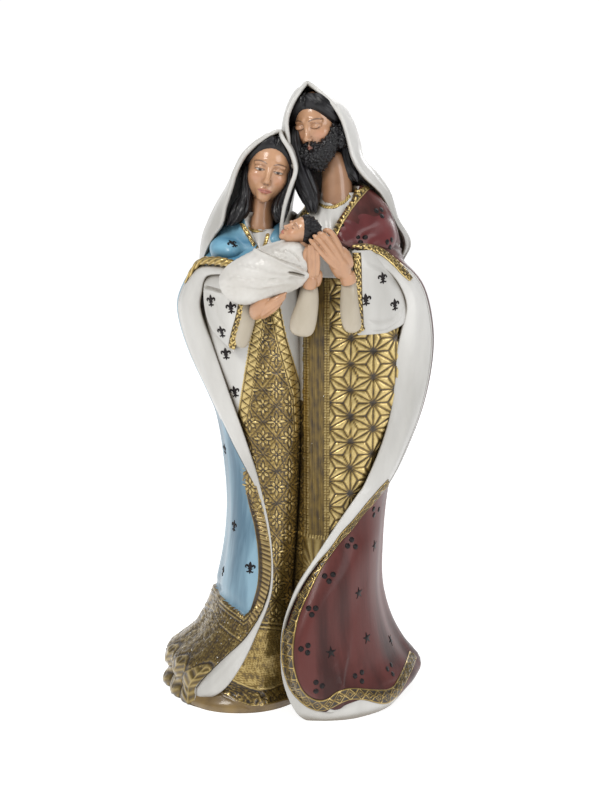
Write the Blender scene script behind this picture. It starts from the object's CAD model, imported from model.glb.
"""Looks of the holy family group: the cast forms at full relief, painted and varnished.

Forms are drawn in millimetres on a 300 mm statue, as in the part, and placed in metres.
"""
import math

import bmesh
import bpy
import numpy as np
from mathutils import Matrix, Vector
from mathutils.bvhtree import BVHTree


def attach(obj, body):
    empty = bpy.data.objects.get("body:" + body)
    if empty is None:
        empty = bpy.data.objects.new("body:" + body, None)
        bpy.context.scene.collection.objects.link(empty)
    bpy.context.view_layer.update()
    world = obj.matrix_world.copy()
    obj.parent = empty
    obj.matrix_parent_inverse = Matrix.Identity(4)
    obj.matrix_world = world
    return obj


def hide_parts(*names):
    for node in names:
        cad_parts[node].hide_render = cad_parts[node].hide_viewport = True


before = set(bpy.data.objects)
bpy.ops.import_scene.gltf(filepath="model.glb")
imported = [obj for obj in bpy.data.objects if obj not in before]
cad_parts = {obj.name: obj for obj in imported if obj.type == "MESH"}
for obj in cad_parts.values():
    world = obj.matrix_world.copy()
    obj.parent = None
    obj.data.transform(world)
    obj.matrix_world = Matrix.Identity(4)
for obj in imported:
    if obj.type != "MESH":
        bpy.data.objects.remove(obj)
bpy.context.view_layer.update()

MM = 0.001
PLAN_SHIFT = np.array([-1.3, -4.0, 0.0])
NODE = "holy_family_statue"

MANTLE_WALL = 5.0
GOWN_SET_BACK = 2.6
VEIL_WALL = 3.8
HEM_FOLD = 1.7
KNEE_FOLD = 0.5
# How square the bodies are in plan, and how far round a mantle goes, in degrees
SQUARENESS = 0.92
MANTLE_END = 235
# Space between the cloth over a head and the skull or the hair inside it
SKULL_GAP = 3.0
HAIR_GAP = 2.3
# Distance between the points of a raised trim
BAND_STEP = 0.42
# Front edges of the mantles, kept once they are worked out
EDGE_LINES = {}

# The camera in drawing millimetres, and its 600 by 800 view in pixels
EYE_DISTANCE = 800.0
EYE = np.array([0.0, -EYE_DISTANCE, 300.0])
TILT = 10.6
PITCH = math.radians(TILT)
FOCUS = 1667.0
VIEW_CENTRE = (300, 394.7)
# How far away the near side of the statue ends, and where a missed sight line looks for it
NEAR_SIDE = 830
MISSED_DEPTH = 790

WOMAN = {
    "out": [(-3, -65), (2, -67.5), (8, -64.5), (14, -66.5), (20, -65.5), (25, -59), (30, -53.5),
            (38, -48.5), (48, -44), (65, -39.5), (95, -36), (127, -38.5), (152, -43), (173, -49),
            (192, -53), (207, -50), (220, -45), (231, -38), (238, -30), (242, -24)],
    "in": [(-3, 8), (60, 6), (150, 6), (215, 2), (231, 2), (238, 0), (242, -8)],
    "front": [(-3, -38), (4, -37.5), (8, -35), (30, -35), (60, -34), (100, -30), (150, -27.5),
              (190, -25.5), (215, -21), (228, -16), (237, -11), (242, -8)],
    "back": [(-3, 41), (20, 38), (45, 31), (80, 26), (120, 24), (205, 23), (225, 18), (242, 4)],
    "wide": [(-3, 13), (25, 12), (60, 7), (110, 3), (160, 0), (242, -2)],
    "pinch": [(-3, 0.92), (242, 0.92)],
}
MAN = {
    "out": [(-3, 49), (0, 51), (3, 55.5), (6, 59.5), (9, 61.5), (13, 60), (19, 55), (29, 48.8),
            (49, 42), (77, 41), (107, 44.4), (128, 51), (146, 57), (166, 60.3), (183, 60.3),
            (202, 56), (216, 50), (232, 46), (243, 41), (251, 33), (256, 26)],
    "in": [(-3, -12), (49, -12), (107, -8), (180, -6), (215, -3), (230, -4), (238, -2), (243, 3),
           (251, 10), (256, 16)],
    "front": [(-3, -42), (30, -41), (60, -38), (100, -31), (150, -27), (190, -25), (215, -22),
              (228, -20), (238, -16), (250, -9), (256, -5)],
    "back": [(-3, 45), (20, 42), (45, 35), (80, 30), (120, 28), (210, 26), (235, 22), (256, 6)],
    "wide": [(-3, 16), (25, 13), (60, 8), (110, 4), (160, 0), (256, 0)],
    "pinch": [(-3, 1.0), (0, 1.02), (5, 1.15), (10, 1.26), (15, 1.24), (34, 1.05), (60, 0.95),
              (256, 0.92)],
}
WOMAN_LIP = {
    "far": [(-33, -31, 217.5), (-47.5, -18, 215.3), (-55.6, -12, 204.1), (-57.9, -8, 192),
            (-53, -8, 173.3), (-43.5, -11, 152.6), (-32.7, -19, 131), (-20.5, -25, 106.6),
            (-15.2, -29, 84.4), (-15.0, -32, 60.4), (-24.5, -34.5, 40.5), (-37.0, -33, 27),
            (-48.0, -28, 14), (-54.5, -20, 2)],
    "near": [(-33, -33, 213.5), (-43.9, -25, 211.7), (-46.6, -21, 203.2), (-47.3, -19, 194.4),
             (-41.9, -19, 177.3), (-34.8, -22, 155.9), (-26.7, -26, 133.4), (-18.6, -27, 107.6),
             (-14.0, -30.0, 84.6), (-13.8, -33.0, 60.6), (-21.6, -36.5, 39.5), (-29.5, -37, 23),
             (-38.5, -33.5, 10), (-50.5, -22, 0)],
    "neck": [(-27, -12, 242), (-26, -13, 235), (-19, -19, 223)],
}
MAN_LIP = {
    "far": [(25, -33, 224.5), (39.5, -26, 221), (51.8, -18, 213), (59, -12, 202), (63, -8, 183.4),
            (62.6, -8, 166), (58.8, -9, 146.3), (52, -13, 127.8), (43.2, -19, 111),
            (32, -27, 102), (16.2, -34, 84), (2.4, -39, 67), (-5.9, -42, 48), (-7.6, -44, 32),
            (-4.8, -45, 18.8), (2.4, -46, 9), (12, -46, 5), (21, -45.4, 8), (31, -42, 10),
            (41.5, -33.5, 5.5), (48.5, -21.5, 3.5), (56.5, 3, 3.2), (61.5, 15, 8.4)],
    "near": [(25, -35, 220), (37, -30, 217), (45.7, -26, 209.6), (50.8, -22, 197.3),
             (48.2, -21, 184), (45.6, -20, 169.5), (44.4, -21, 150), (40.2, -24, 132.5),
             (32, -28, 113.3), (26.7, -31, 105.7), (12.4, -36, 85.8), (-0.5, -41, 65.6),
             (-7.6, -43, 48.4), (-9.3, -44, 31), (-7.4, -44, 16), (-1, -45, 3), (9, -44, -2),
             (20.6, -43, -2), (29, -39, -2), (37.5, -31, -2), (43, -19, -2), (48, 3, -2),
             (50, 16, -2)],
    "neck": [(30, -6, 256), (26, -11, 247.5), (18.5, -18, 238), (14, -22, 229.5)],
}
WOMAN_VEIL = [
    (277.5, -11, -12, -8, -9, -11, -6, -2), (274.5, -17.6, -19.6, -4, -8, -14.5, -5, 6),
    (268, -25.4, -27.0, -0.5, -4, -16, -4, 12), (260, -30.0, -31.6, 1.2, -2, -16, -3, 14),
    (252, -32.4, -35, -1.8, -4.5, -17, -2, 15), (243, -35.2, -40.5, -3.6, -7.2, -17, 0, 17),
    (235, -37, -44.5, -4.2, -8.5, -17, 1, 19), (227, -42, -47.5, -5, -8.5, -14, 3, 22),
    (214, -47, -48.5, -6, -8, -2, 8, 26), (194, -46, -47, -8, -9, 12, 17, 28),
    (180, -39, -40, -12, -13, 20, 23, 28.5), (171, -29, -29.5, -19, -19.5, 25, 26, 28.5),
]
MAN_HOOD = [
    (299.8, 3, 2, 5, 4, -8, -3, 1), (296.5, 0.0, -2.4, 12, 8.5, -12, -3, 7),
    (290, -4.2, -5.9, 21, 15.5, -14, -2, 13), (283, -6.4, -7.9, 25.8, 20, -15, 0, 16),
    (274.5, -5.6, -9.0, 28.6, 22.6, -12.5, 1, 17.5), (265, -5, -8.0, 31, 25.5, -11.5, 3, 18),
    (257, 0, -2, 37.5, 30.5, -8, 5, 18), (248, 6.5, 4.5, 43.5, 39, 0, 7, 19),
    (236, 8.5, 7, 47.5, 45, 5, 9, 22), (224, 4, 2, 53.6, 51.5, 8, 10, 25),
    (213, 0, -1, 49.5, 48.5, 13, 15, 28), (192, 2, 1, 42, 41, 22, 25, 30),
    (178, 8, 7, 35, 34, 27, 28, 31), (169, 17, 16.5, 26, 25.5, 29, 30, 31.5),
]
WOMAN_HEAD = ((-14.6, -5.0, 260.2), 15.6, (0.02, -1.0, -0.03), (0.22, -0.03, 0.97))
MAN_HEAD = ((8.6, -3.6, 281.4), 15.1, (-0.48, -0.86, -0.17), (-0.20, -0.14, 0.95))
BABY_HEAD = ((0.2, -38.5, 232.6), 8.6, (-0.62, -0.42, 0.66), (0.74, -0.10, 0.66))


def smooth_value(knots, values, at):
    knots, values = np.asarray(knots, float), np.asarray(values, float)
    slopes = np.gradient(values, knots)
    at = np.clip(at, knots[0], knots[-1])
    i = np.clip(np.searchsorted(knots, at, side="right") - 1, 0, len(knots) - 2)
    width = knots[i + 1] - knots[i]
    s = (at - knots[i]) / width
    return ((1 + 2 * s) * (1 - s) ** 2 * values[i] + s * (1 - s) ** 2 * width * slopes[i]
            + s * s * (3 - 2 * s) * values[i + 1] + s * s * (s - 1) * width * slopes[i + 1])


def smooth_curve(points, count, at=None):
    points = np.array(points, float)
    stations = np.arange(len(points), dtype=float)
    if at is None:
        at = np.linspace(0, len(points) - 1, count)
    return np.stack([smooth_value(stations, column, at) for column in points.T], axis=1)


def run_along(line):
    """The length run along a line, up to each of its points."""
    return np.concatenate([[0], np.cumsum(np.linalg.norm(np.diff(line, axis=0), axis=1))])


def measured(points):
    """A dense smooth curve through the given points, and the length run along it."""
    dense = smooth_curve(points, 40 * len(points))
    return dense, run_along(dense)


def even_curve(points, step):
    """Points a step apart along a smooth curve through the given points."""
    dense, run = measured(points)
    at = np.linspace(0, run[-1], max(int(run[-1] / step) + 1, 3))
    return np.stack([np.interp(at, run, column) for column in dense.T], axis=1)


def profile(body, name, z):
    knots, values = zip(*body[name])
    return smooth_value(knots, values, z)


def folds(z, turn):
    depth = KNEE_FOLD + (HEM_FOLD - KNEE_FOLD) * np.clip(1 - z / 110, 0, 1) ** 1.5
    return depth * (0.6 * np.sin(9 * turn + 0.6) + 0.4 * np.sin(17 * turn + 2.0))


def body_point(body, z, turn, inset=0.0):
    left, right = profile(body, "out", z), profile(body, "in", z)
    middle, half = (left + right) / 2, (left - right) / 2
    wide = profile(body, "wide", z)
    ahead, behind = wide - profile(body, "front", z), profile(body, "back", z) - wide
    stand = folds(z, turn) * np.clip(np.abs(np.sin(turn / 2)) * 1.6 - 0.35, 0, 1) - inset
    across, along = np.sin(turn), np.cos(turn)
    power = np.where((across > 0) & (along > 0), profile(body, "pinch", z), SQUARENESS)
    x = middle + (half + np.sign(half) * stand) * np.sign(across) * np.abs(across) ** power
    reach = np.where(along > 0, ahead, behind) + stand
    y = wide - reach * np.sign(along) * np.abs(along) ** power
    return np.stack([x, y, z + 0 * turn], axis=-1)


def front_edge(lip, z):
    if id(lip) not in EDGE_LINES:
        rail = smooth_curve(lip["far"], 300)
        below = np.nonzero((rail[:, 2] < 9.5) | (np.arange(300) == 299))[0][0]
        rail = np.concatenate([rail[:below], [rail[below] * [1, 1, 0] - [0, 0, 4]]])
        EDGE_LINES[id(lip)] = np.concatenate([np.array(lip["neck"], float), rail])[::-1]
    line = EDGE_LINES[id(lip)]
    return np.interp(z, line[:, 2], line[:, 0]), np.interp(z, line[:, 2], line[:, 1])


def mantle_row(body, lip, z, shares, inset=0.0):
    """Points of the mantle at heights z and shares of the way round; the two broadcast."""
    z, shares = np.broadcast_arrays(np.asarray(z, float), np.asarray(shares, float))
    edge_x, edge_y = front_edge(lip, z)
    left, right = profile(body, "out", z), profile(body, "in", z)
    start = np.arcsin(np.clip((edge_x - (left + right) / 2) / ((left - right) / 2), -0.95, 0.95))
    turns = start + (math.radians(MANTLE_END) - start) * shares
    row = body_point(body, z, turns, inset)
    pull = np.stack([edge_x, edge_y, z], axis=-1) - body_point(body, z, start)
    fade = np.cos(np.clip((turns - start) / math.radians(75), 0, 1) * math.pi / 2) ** 2
    return row + fade[..., None] * pull


def lip_sheet(lip, count, steps, bulge):
    far, near = smooth_curve(lip["far"], count), smooth_curve(lip["near"], count)
    across = near - far
    normal = np.cross(np.gradient((far + near) / 2, axis=0), across)
    normal /= np.linalg.norm(normal, axis=1)[:, None]
    normal *= -np.sign(normal[:, 1])[:, None]
    width = np.linalg.norm(across, axis=1)
    share = np.linspace(0, 1, steps)[None, :, None]
    rise = normal[:, None] * (bulge * width[:, None, None] * np.sin(math.pi * share) ** 0.8)
    return far[:, None] + across[:, None] * share + rise, normal


def veil_row(row, shrink=0.0, count=77):
    z, rim_l, side_l, side_r, rim_r, y_rim, y_side, y_back = row
    middle = (side_l + side_r) / 2
    back_l, back_r = middle + (side_l - middle) * 0.72, middle + (side_r - middle) * 0.72
    y_turn = y_side + (y_back - y_side) * 0.68
    points = np.array([(rim_l, y_rim), (side_l, y_side), (back_l, y_turn), (middle, y_back),
                       (back_r, y_turn), (side_r, y_side), (rim_r, y_rim)], float)
    centre = np.array([middle, (y_rim + y_back) / 2])
    reach = np.linalg.norm(points - centre, axis=1)[:, None]
    points = centre + (points - centre) * np.clip(1 - shrink / np.maximum(reach, 0.1), 0.05, 1)
    line = smooth_curve(points, count)
    return np.column_stack([line, np.full(count, z)])


def blend(a, b, soft):
    h = np.clip(0.5 + 0.5 * (b - a) / soft, 0, 1)
    return b + (a - b) * h - soft * h * (1 - h)


def ellipsoid(p, centre, radii):
    q = (p - np.array(centre)) / np.array(radii)
    return (np.linalg.norm(q, axis=-1) - 1) * min(radii)


def capsule(p, start, end, r_start, r_end):
    start, end = np.array(start, float), np.array(end, float)
    along = end - start
    t = np.clip((p - start) @ along / (along @ along), 0, 1)
    return np.linalg.norm(p - start - t[..., None] * along, axis=-1) - (r_start + (r_end - r_start) * t)


def facing(look, crown):
    back = -np.array(look, float) / np.linalg.norm(look)
    up = np.array(crown, float) - back * (back @ np.array(crown, float))
    up /= np.linalg.norm(up)
    return np.column_stack([np.cross(back, up), back, up])


def on_head(head, points):
    centre, half, look, crown = head
    return np.array(points, float) * half @ facing(look, crown).T + np.array(centre)


# Making pieces

def finish_piece(obj, material):
    obj.data.materials.clear()
    obj.data.materials.append(material)
    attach(obj, "root")
    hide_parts(NODE)
    return obj


def make_piece(name, points, faces, material, floats=None, colours=None):
    mesh = bpy.data.meshes.new(name)
    world = (np.asarray(points, float).reshape(-1, 3) - PLAN_SHIFT) * MM
    mesh.from_pydata(world.tolist(), [], faces)
    for key, values in (floats or {}).items():
        mesh.attributes.new(key, "FLOAT", "POINT").data.foreach_set(
            "value", np.asarray(values, np.float32).ravel())
    for key, values in (colours or {}).items():
        rgba = np.ones((len(world), 4), np.float32)
        rgba[:, :3] = np.asarray(values).reshape(-1, 3)
        mesh.attributes.new(key, "FLOAT_COLOR", "POINT").data.foreach_set("color", rgba.ravel())
    work = bmesh.new()
    work.from_mesh(mesh)
    bmesh.ops.recalc_face_normals(work, faces=work.faces)
    work.to_mesh(mesh)
    work.free()
    mesh.polygons.foreach_set("use_smooth", [True] * len(mesh.polygons))
    obj = bpy.data.objects.new(name, mesh)
    bpy.context.scene.collection.objects.link(obj)
    return finish_piece(obj, material)


def ring_faces(rows, turns, start=0, caps=True):
    r, i = np.meshgrid(np.arange(rows - 1), np.arange(turns), indexing="ij")
    quads = np.stack([r * turns + i, r * turns + (i + 1) % turns,
                      (r + 1) * turns + (i + 1) % turns, (r + 1) * turns + i], -1)
    faces = (quads.reshape(-1, 4) + start).tolist()
    if caps:
        faces.append([start + k for k in reversed(range(turns))])
        faces.append([start + (rows - 1) * turns + k for k in range(turns)])
    return faces


def grid_normals(grid, away_from):
    n = np.cross(np.gradient(grid, axis=1), np.gradient(grid, axis=0))
    n /= np.maximum(np.linalg.norm(n, axis=-1), 1e-9)[..., None]
    return n * np.sign((n * (grid - away_from)).sum())


def shell_rings(outer, inner):
    """Closed rings from a dense outer sheet and a coarse inner one."""
    return np.concatenate([outer, inner[:, ::-1]], axis=1)


class Forms:
    """Closed forms gathered into one mesh."""

    def __init__(self):
        self.points, self.faces, self.count = [], [], 0

    def add_rings(self, rings):
        rings = np.asarray(rings, float)
        rows, turns = rings.shape[:2]
        self.faces.extend(ring_faces(rows, turns, self.count))
        self.points.append(rings.reshape(-1, 3))
        self.count += rows * turns

    def ball(self, centre, radii, rows=24, turns=36):
        lift = np.linspace(-math.pi / 2 + 0.04, math.pi / 2 - 0.04, rows)[:, None]
        round_ = np.linspace(0, 2 * math.pi, turns, endpoint=False)[None, :]
        unit = np.stack([np.cos(round_) * np.cos(lift), np.sin(round_) * np.cos(lift),
                         np.sin(lift) + 0 * round_], axis=-1)
        self.add_rings(unit * np.array(radii) + np.array(centre))

    def limb(self, points, radii, flat=1.0, count=40, sides=24, strands=0, depth=0.0, twist=0.0,
             phase=0.0):
        line = smooth_curve(points, count)
        share = np.linspace(0, 1, count)
        thick = smooth_value(np.linspace(0, 1, len(radii)), radii, share)
        thick = thick * np.sqrt(np.clip(1 - np.linspace(-1, 1, count) ** 8, 0.02, 1))
        tangents = np.gradient(line, axis=0)
        tangents /= np.linalg.norm(tangents, axis=1)[:, None]
        side = np.array([0.0, 1.0, 0.0])
        round_ = np.linspace(0, 2 * math.pi, sides, endpoint=False)[:, None]
        rings = []
        for k in range(count):
            side = side - tangents[k] * (side @ tangents[k])
            side = side / np.linalg.norm(side)
            other = np.cross(tangents[k], side)
            wave = np.sin(strands * round_ + twist * share[k] + phase) if strands else 0 * round_
            radius = thick[k] * (1 + depth * wave)
            rings.append(line[k] + radius * (np.cos(round_) * side * flat
                                             + np.sin(round_) * other))
        self.add_rings(rings)

    def piece(self, name, material, **more):
        return make_piece(name, np.concatenate(self.points), self.faces, material, **more)

    def fused(self, name, material, cell, smooth=3):
        """The forms cast into one skin, with a cell in millimetres."""
        obj = self.piece(name, material)
        skin = obj.modifiers.new("skin", "REMESH")
        skin.mode = "VOXEL"
        skin.voxel_size = cell * MM
        skin.use_smooth_shade = True
        if smooth:
            soften = obj.modifiers.new("soften", "SMOOTH")
            soften.factor = 0.5
            soften.iterations = smooth
        seen = obj.evaluated_get(bpy.context.evaluated_depsgraph_get())
        mesh = bpy.data.meshes.new_from_object(seen)
        obj.modifiers.clear()
        obj.data = mesh
        mesh.materials.clear()
        mesh.materials.append(material)
        return obj


def surface_of(*grids):
    """A ray-castable surface of one or more open grids, in drawing millimetres."""
    points, faces, start = [], [], 0
    for grid in grids:
        rows, turns = grid.shape[:2]
        r, i = np.meshgrid(np.arange(rows - 1), np.arange(turns - 1), indexing="ij")
        a = start + r * turns + i
        faces.extend(np.stack([a, a + 1, a + turns + 1, a + turns], -1).reshape(-1, 4).tolist())
        points.append(grid.reshape(-1, 3))
        start += rows * turns
    return BVHTree.FromPolygons(np.concatenate(points).tolist(), faces)


def settle(tree, point, away):
    """The nearest surface point and the normal that faces away from the given point."""
    spot, normal, _, _ = tree.find_nearest(Vector(point))
    spot, normal = np.array(spot), np.array(normal)
    return spot, normal if normal @ (spot - away) > 0 else -normal


def lay_band(tree, path, width, side, core, step=BAND_STEP):
    """Grid of surface points and normals: a band of the given width beside a path."""
    line = even_curve(path, step)
    spots = np.array([settle(tree, p, core(p))[0] for p in line])
    kernel = np.ones(5) / 5
    padded = np.pad(spots, ((2, 2), (0, 0)), mode="reflect", reflect_type="odd")
    spots = np.stack([np.convolve(c, kernel, "valid") for c in padded.T], 1)
    tangents = np.gradient(line, axis=0)
    tangents /= np.maximum(np.linalg.norm(tangents, axis=1), 1e-6)[:, None]
    steps = np.linspace(0, width, max(int(width / step) + 1, 4))
    grid, normals = [], []
    for spot, tangent in zip(spots, tangents):
        row, row_n = [], []
        here, last = spot, 0.0
        for t in steps:
            _, n = settle(tree, here, core(here))
            w = np.cross(n, tangent) * side
            w /= max(np.linalg.norm(w), 1e-6)
            here, n = settle(tree, here + w * (t - last), core(here))
            last = t
            row.append(here)
            row_n.append(n)
        grid.append(row)
        normals.append(row_n)
    run = run_along(spots)
    s, t = np.meshgrid(run, steps, indexing="ij")
    return np.array(grid), np.array(normals), s, t


def make_band(name, tree, path, width, side, core, relief, material, lift=0.45, depth=0.4,
              step=BAND_STEP, square=8):
    """A raised trim with a relief, lying on a surface."""
    grid, normals, s, t = lay_band(tree, path, width, side, core, step)
    height = relief(s, t, width)
    edge = 1 - np.abs(2 * t / width - 1) ** square
    outer = grid + normals * (lift * edge + depth * (height - 0.5) * edge)[..., None]
    inner = grid[:, ::4] - normals[:, ::4] * 0.9
    rings = shell_rings(outer, inner)
    values = np.concatenate([height, np.full(inner.shape[:2], 0.3)], axis=1)
    return make_piece(name, rings, ring_faces(*rings.shape[:2]), material,
                      floats={"relief": values})


# Relief patterns: 1 is the top of the relief and 0 the bottom of a groove

def groove(distance, width):
    return np.exp(-(distance / width) ** 2)


def rosettes(u, v, pitch_u=12.8, pitch_v=7.85, radius=5.3):
    best = np.full(np.shape(u), 1e9)
    du, dv = np.zeros_like(best), np.zeros_like(best)
    row = np.round(v / pitch_v)
    for k in (-1, 0, 1):
        j = row + k
        off = (j % 2) * pitch_u / 2
        cu = np.round((u - off) / pitch_u) * pitch_u + off
        d = (u - cu) ** 2 + (v - j * pitch_v) ** 2
        near = d < best
        best = np.where(near, d, best)
        du, dv = np.where(near, u - cu, du), np.where(near, v - j * pitch_v, dv)
    ground = 0.55 + 0.22 * np.sin(u * 2.3 + 2 * np.sin(v * 1.7)) * np.sin(v * 2.6 + 2 * np.sin(u * 1.9))
    height = ground
    lines = np.zeros_like(best)
    for k in range(8):
        angle = k * math.pi / 4
        out = du * math.cos(angle) + dv * math.sin(angle)
        side = np.abs(-du * math.sin(angle) + dv * math.cos(angle))
        reach = radius if k % 2 == 0 else radius * 0.74
        share = np.clip((out - 0.6) / (reach - 0.6), 0, 1)
        half = (0.92 if k % 2 else 0.78) * np.sin(math.pi * share ** 0.85)
        inside = (out > 0.6) & (out < reach) & (side < half)
        height = np.where(inside, 0.95 - 0.35 * (side < 0.12), height)
        near = (out > 0.4) & (out < reach + 0.3)
        lines = np.maximum(lines, groove(side - half, 0.24) * near)
    height = np.where(best < 0.35, 1.0, height)
    a, b = u / (pitch_u / 2), v / pitch_v
    span = pitch_v * (pitch_u / 2) / math.hypot(pitch_v, pitch_u / 2)
    for w in (a - b, a + b):
        d = np.abs(w - 1 - 2 * np.round((w - 1) / 2)) * span
        lines = np.maximum(lines, groove(d, 0.22) * 0.9)
    return np.clip(height * (1 - lines), 0, 1)


def star_leaves(u, v, side=12.4):
    high = side * math.sqrt(3) / 2
    s2 = u / high
    s1 = v / side - s2 / 2
    f1, f2 = s1 - np.floor(s1), s2 - np.floor(s2)
    upper = f1 + f2 > 1
    l1 = np.where(upper, f1 + f2 - 1, 1 - f1 - f2)
    l2 = np.where(upper, 1 - f2, f1)
    l3 = np.where(upper, 1 - f1, f2)
    d = np.minimum(np.minimum(l1, l2), l3) * high
    for a, b, c in ((l1, l2, l3), (l2, l1, l3), (l3, l1, l2)):
        d = np.minimum(d, np.where(a >= 1 / 3, np.abs(b - c) * side / 2, 9.0))
    corner = 1 - np.maximum(np.maximum(l1, l2), l3)
    rise = np.clip(d / (0.55 + 0.5 * corner), 0, 1) ** 0.9
    mottle = 0.10 * np.sin(u * 2.9 + 1.7 * np.sin(v * 2.2)) * np.sin(v * 3.1 + u)
    dark = 1 - 0.45 * np.clip(1 - (1 - np.maximum(np.maximum(l1, l2), l3)) / 0.24, 0, 1)
    return np.clip(rise * (0.84 + mottle) * dark + 0.10 * (1 - groove(d, 0.25)), 0, 1)


def zigzag(s, t, width, period=4.6):
    saw = np.abs((s / period) % 1 - 0.5) * 2
    line = width * (0.16 + 0.68 * saw)
    lines = groove((t - line) * 0.75, 0.30)
    for at in (0.10 * width, 0.90 * width):
        lines = np.maximum(lines, groove(t - at, 0.22))
    return np.clip(0.85 * (1 - lines) + 0.1, 0, 1)


def lozenges(s, t, width, period=5.8):
    a = np.abs((s / period) % 1 - 0.5) * 2
    b = np.abs(t / width * 2 - 1) / 0.86
    d = a + b
    unit = min(period, width) * 0.35
    lines = np.maximum(groove((d - 1) * unit, 0.20), groove((d - 0.46) * unit, 0.17) * 0.9)
    lines = np.maximum(lines, groove((1 - a + b - 0.30) * unit, 0.14) * (a > 0.6) * 0.7)
    for at in (0.05 * width, 0.95 * width):
        lines = np.maximum(lines, groove(t - at, 0.26))
    return np.clip(0.08 + 0.92 * lines, 0, 1)


def engraved(s, t, width):
    wave = np.sin(s * 2.1 + 1.3 * np.sin(t * 2.6)) * np.sin(t * 3.1 + 0.9 * np.sin(s * 1.7))
    curl = np.sin(s * 3.7 - t * 2.2) * np.sin(s * 1.3 + t * 3.3)
    rim = np.abs(t / width * 2 - 1)
    body = 0.55 + 0.45 * np.tanh(2.2 * (wave + 0.7 * curl))
    return np.where(rim > 0.80, 1.0, np.clip(body, 0, 1)) * (1 - 0.8 * groove(rim - 0.78, 0.06))


def lace(s, t, width):
    ribs = np.abs((s / 2.3) % 1 - 0.5) * 2
    body = 0.35 + 0.55 * (ribs > 0.35) * (t > width * 0.25)
    scallop = groove(t - width * (0.22 + 0.10 * ribs), 0.3)
    rim = np.abs(t / width * 2 - 1)
    return np.clip(np.where(rim > 0.86, 0.95, body) * (1 - 0.8 * scallop), 0, 1)


def braid(s, t, width):
    ribs = np.abs(((s + 0.8 * t) / 1.3) % 1 - 0.5) * 2
    return np.clip(0.35 + 0.65 * ribs, 0, 1)


# Materials

def shader_material(name):
    material = bpy.data.materials.new(name)
    material.use_nodes = True
    tree = material.node_tree
    return material, tree, tree.nodes["Principled BSDF"]


def node(tree, kind, **values):
    made = tree.nodes.new(kind)
    for key, value in values.items():
        if key.startswith("in_"):
            made.inputs[key[3:].replace("_", " ")].default_value = value
        else:
            setattr(made, key, value)
    return made


def noise(tree, scale, detail=4.0, stretch=None):
    coords = node(tree, "ShaderNodeTexCoord")
    texture = node(tree, "ShaderNodeTexNoise")
    texture.inputs["Scale"].default_value = scale
    texture.inputs["Detail"].default_value = detail
    if stretch:
        mapping = node(tree, "ShaderNodeMapping")
        mapping.inputs["Scale"].default_value = stretch
        tree.links.new(coords.outputs["Object"], mapping.inputs["Vector"])
        tree.links.new(mapping.outputs["Vector"], texture.inputs["Vector"])
    else:
        tree.links.new(coords.outputs["Object"], texture.inputs["Vector"])
    return texture


def ramp(tree, source, stops):
    made = node(tree, "ShaderNodeValToRGB")
    elements = made.color_ramp.elements
    while len(elements) < len(stops):
        elements.new(0.5)
    for element, (at, colour) in zip(elements, stops):
        element.position = at
        element.color = (*colour, 1) if len(colour) == 3 else colour
    tree.links.new(source, made.inputs["Fac"])
    return made


def mix_colour(tree, factor, a, b, mode="MIX"):
    made = node(tree, "ShaderNodeMix", data_type="RGBA", blend_type=mode)
    if isinstance(factor, float):
        made.inputs["Factor"].default_value = factor
    else:
        tree.links.new(factor, made.inputs["Factor"])
    for value, socket in ((a, made.inputs[6]), (b, made.inputs[7])):
        if isinstance(value, tuple):
            socket.default_value = (*value, 1)
        else:
            tree.links.new(value, socket)
    return made.outputs[2]


def add_bump(tree, shader, source, strength, distance=0.0004):
    bump = node(tree, "ShaderNodeBump")
    bump.inputs["Strength"].default_value = strength
    bump.inputs["Distance"].default_value = distance
    tree.links.new(source, bump.inputs["Height"])
    tree.links.new(bump.outputs["Normal"], shader.inputs["Normal"])


def washed(tree, colour, wash, reach=0.006, deep=0.25, clear=0.85):
    """Lays a dark wash into the recesses of a colour."""
    shade = node(tree, "ShaderNodeAmbientOcclusion", samples=6)
    shade.inputs["Distance"].default_value = reach
    open_ = ramp(tree, shade.outputs["AO"], [(deep, (0, 0, 0)), (clear, (1, 1, 1))])
    return mix_colour(tree, open_.outputs["Color"], wash, colour)


def varnish(shader, roughness=0.35, coat=0.7, coat_roughness=0.12):
    shader.inputs["Roughness"].default_value = roughness
    shader.inputs["Coat Weight"].default_value = coat
    shader.inputs["Coat Roughness"].default_value = coat_roughness


def painted(name, light, dark, scale=60, stretch=None, roughness=0.4, coat=0.6, bump=0.12,
            spread=(0.35, 0.65), specular=0.5, wash=None):
    """Brushed paint between two shades under varnish."""
    material, tree, shader = shader_material(name)
    cloud = noise(tree, scale, 5, stretch)
    colour = ramp(tree, cloud.outputs["Fac"], [(spread[0], dark), (spread[1], light)]).outputs["Color"]
    if wash:
        colour = washed(tree, colour, wash)
    tree.links.new(colour, shader.inputs["Base Color"])
    varnish(shader, roughness, coat)
    shader.inputs["Specular IOR Level"].default_value = specular
    fine = noise(tree, scale * 9, 3, stretch)
    add_bump(tree, shader, fine.outputs["Fac"], bump)
    return material


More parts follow.
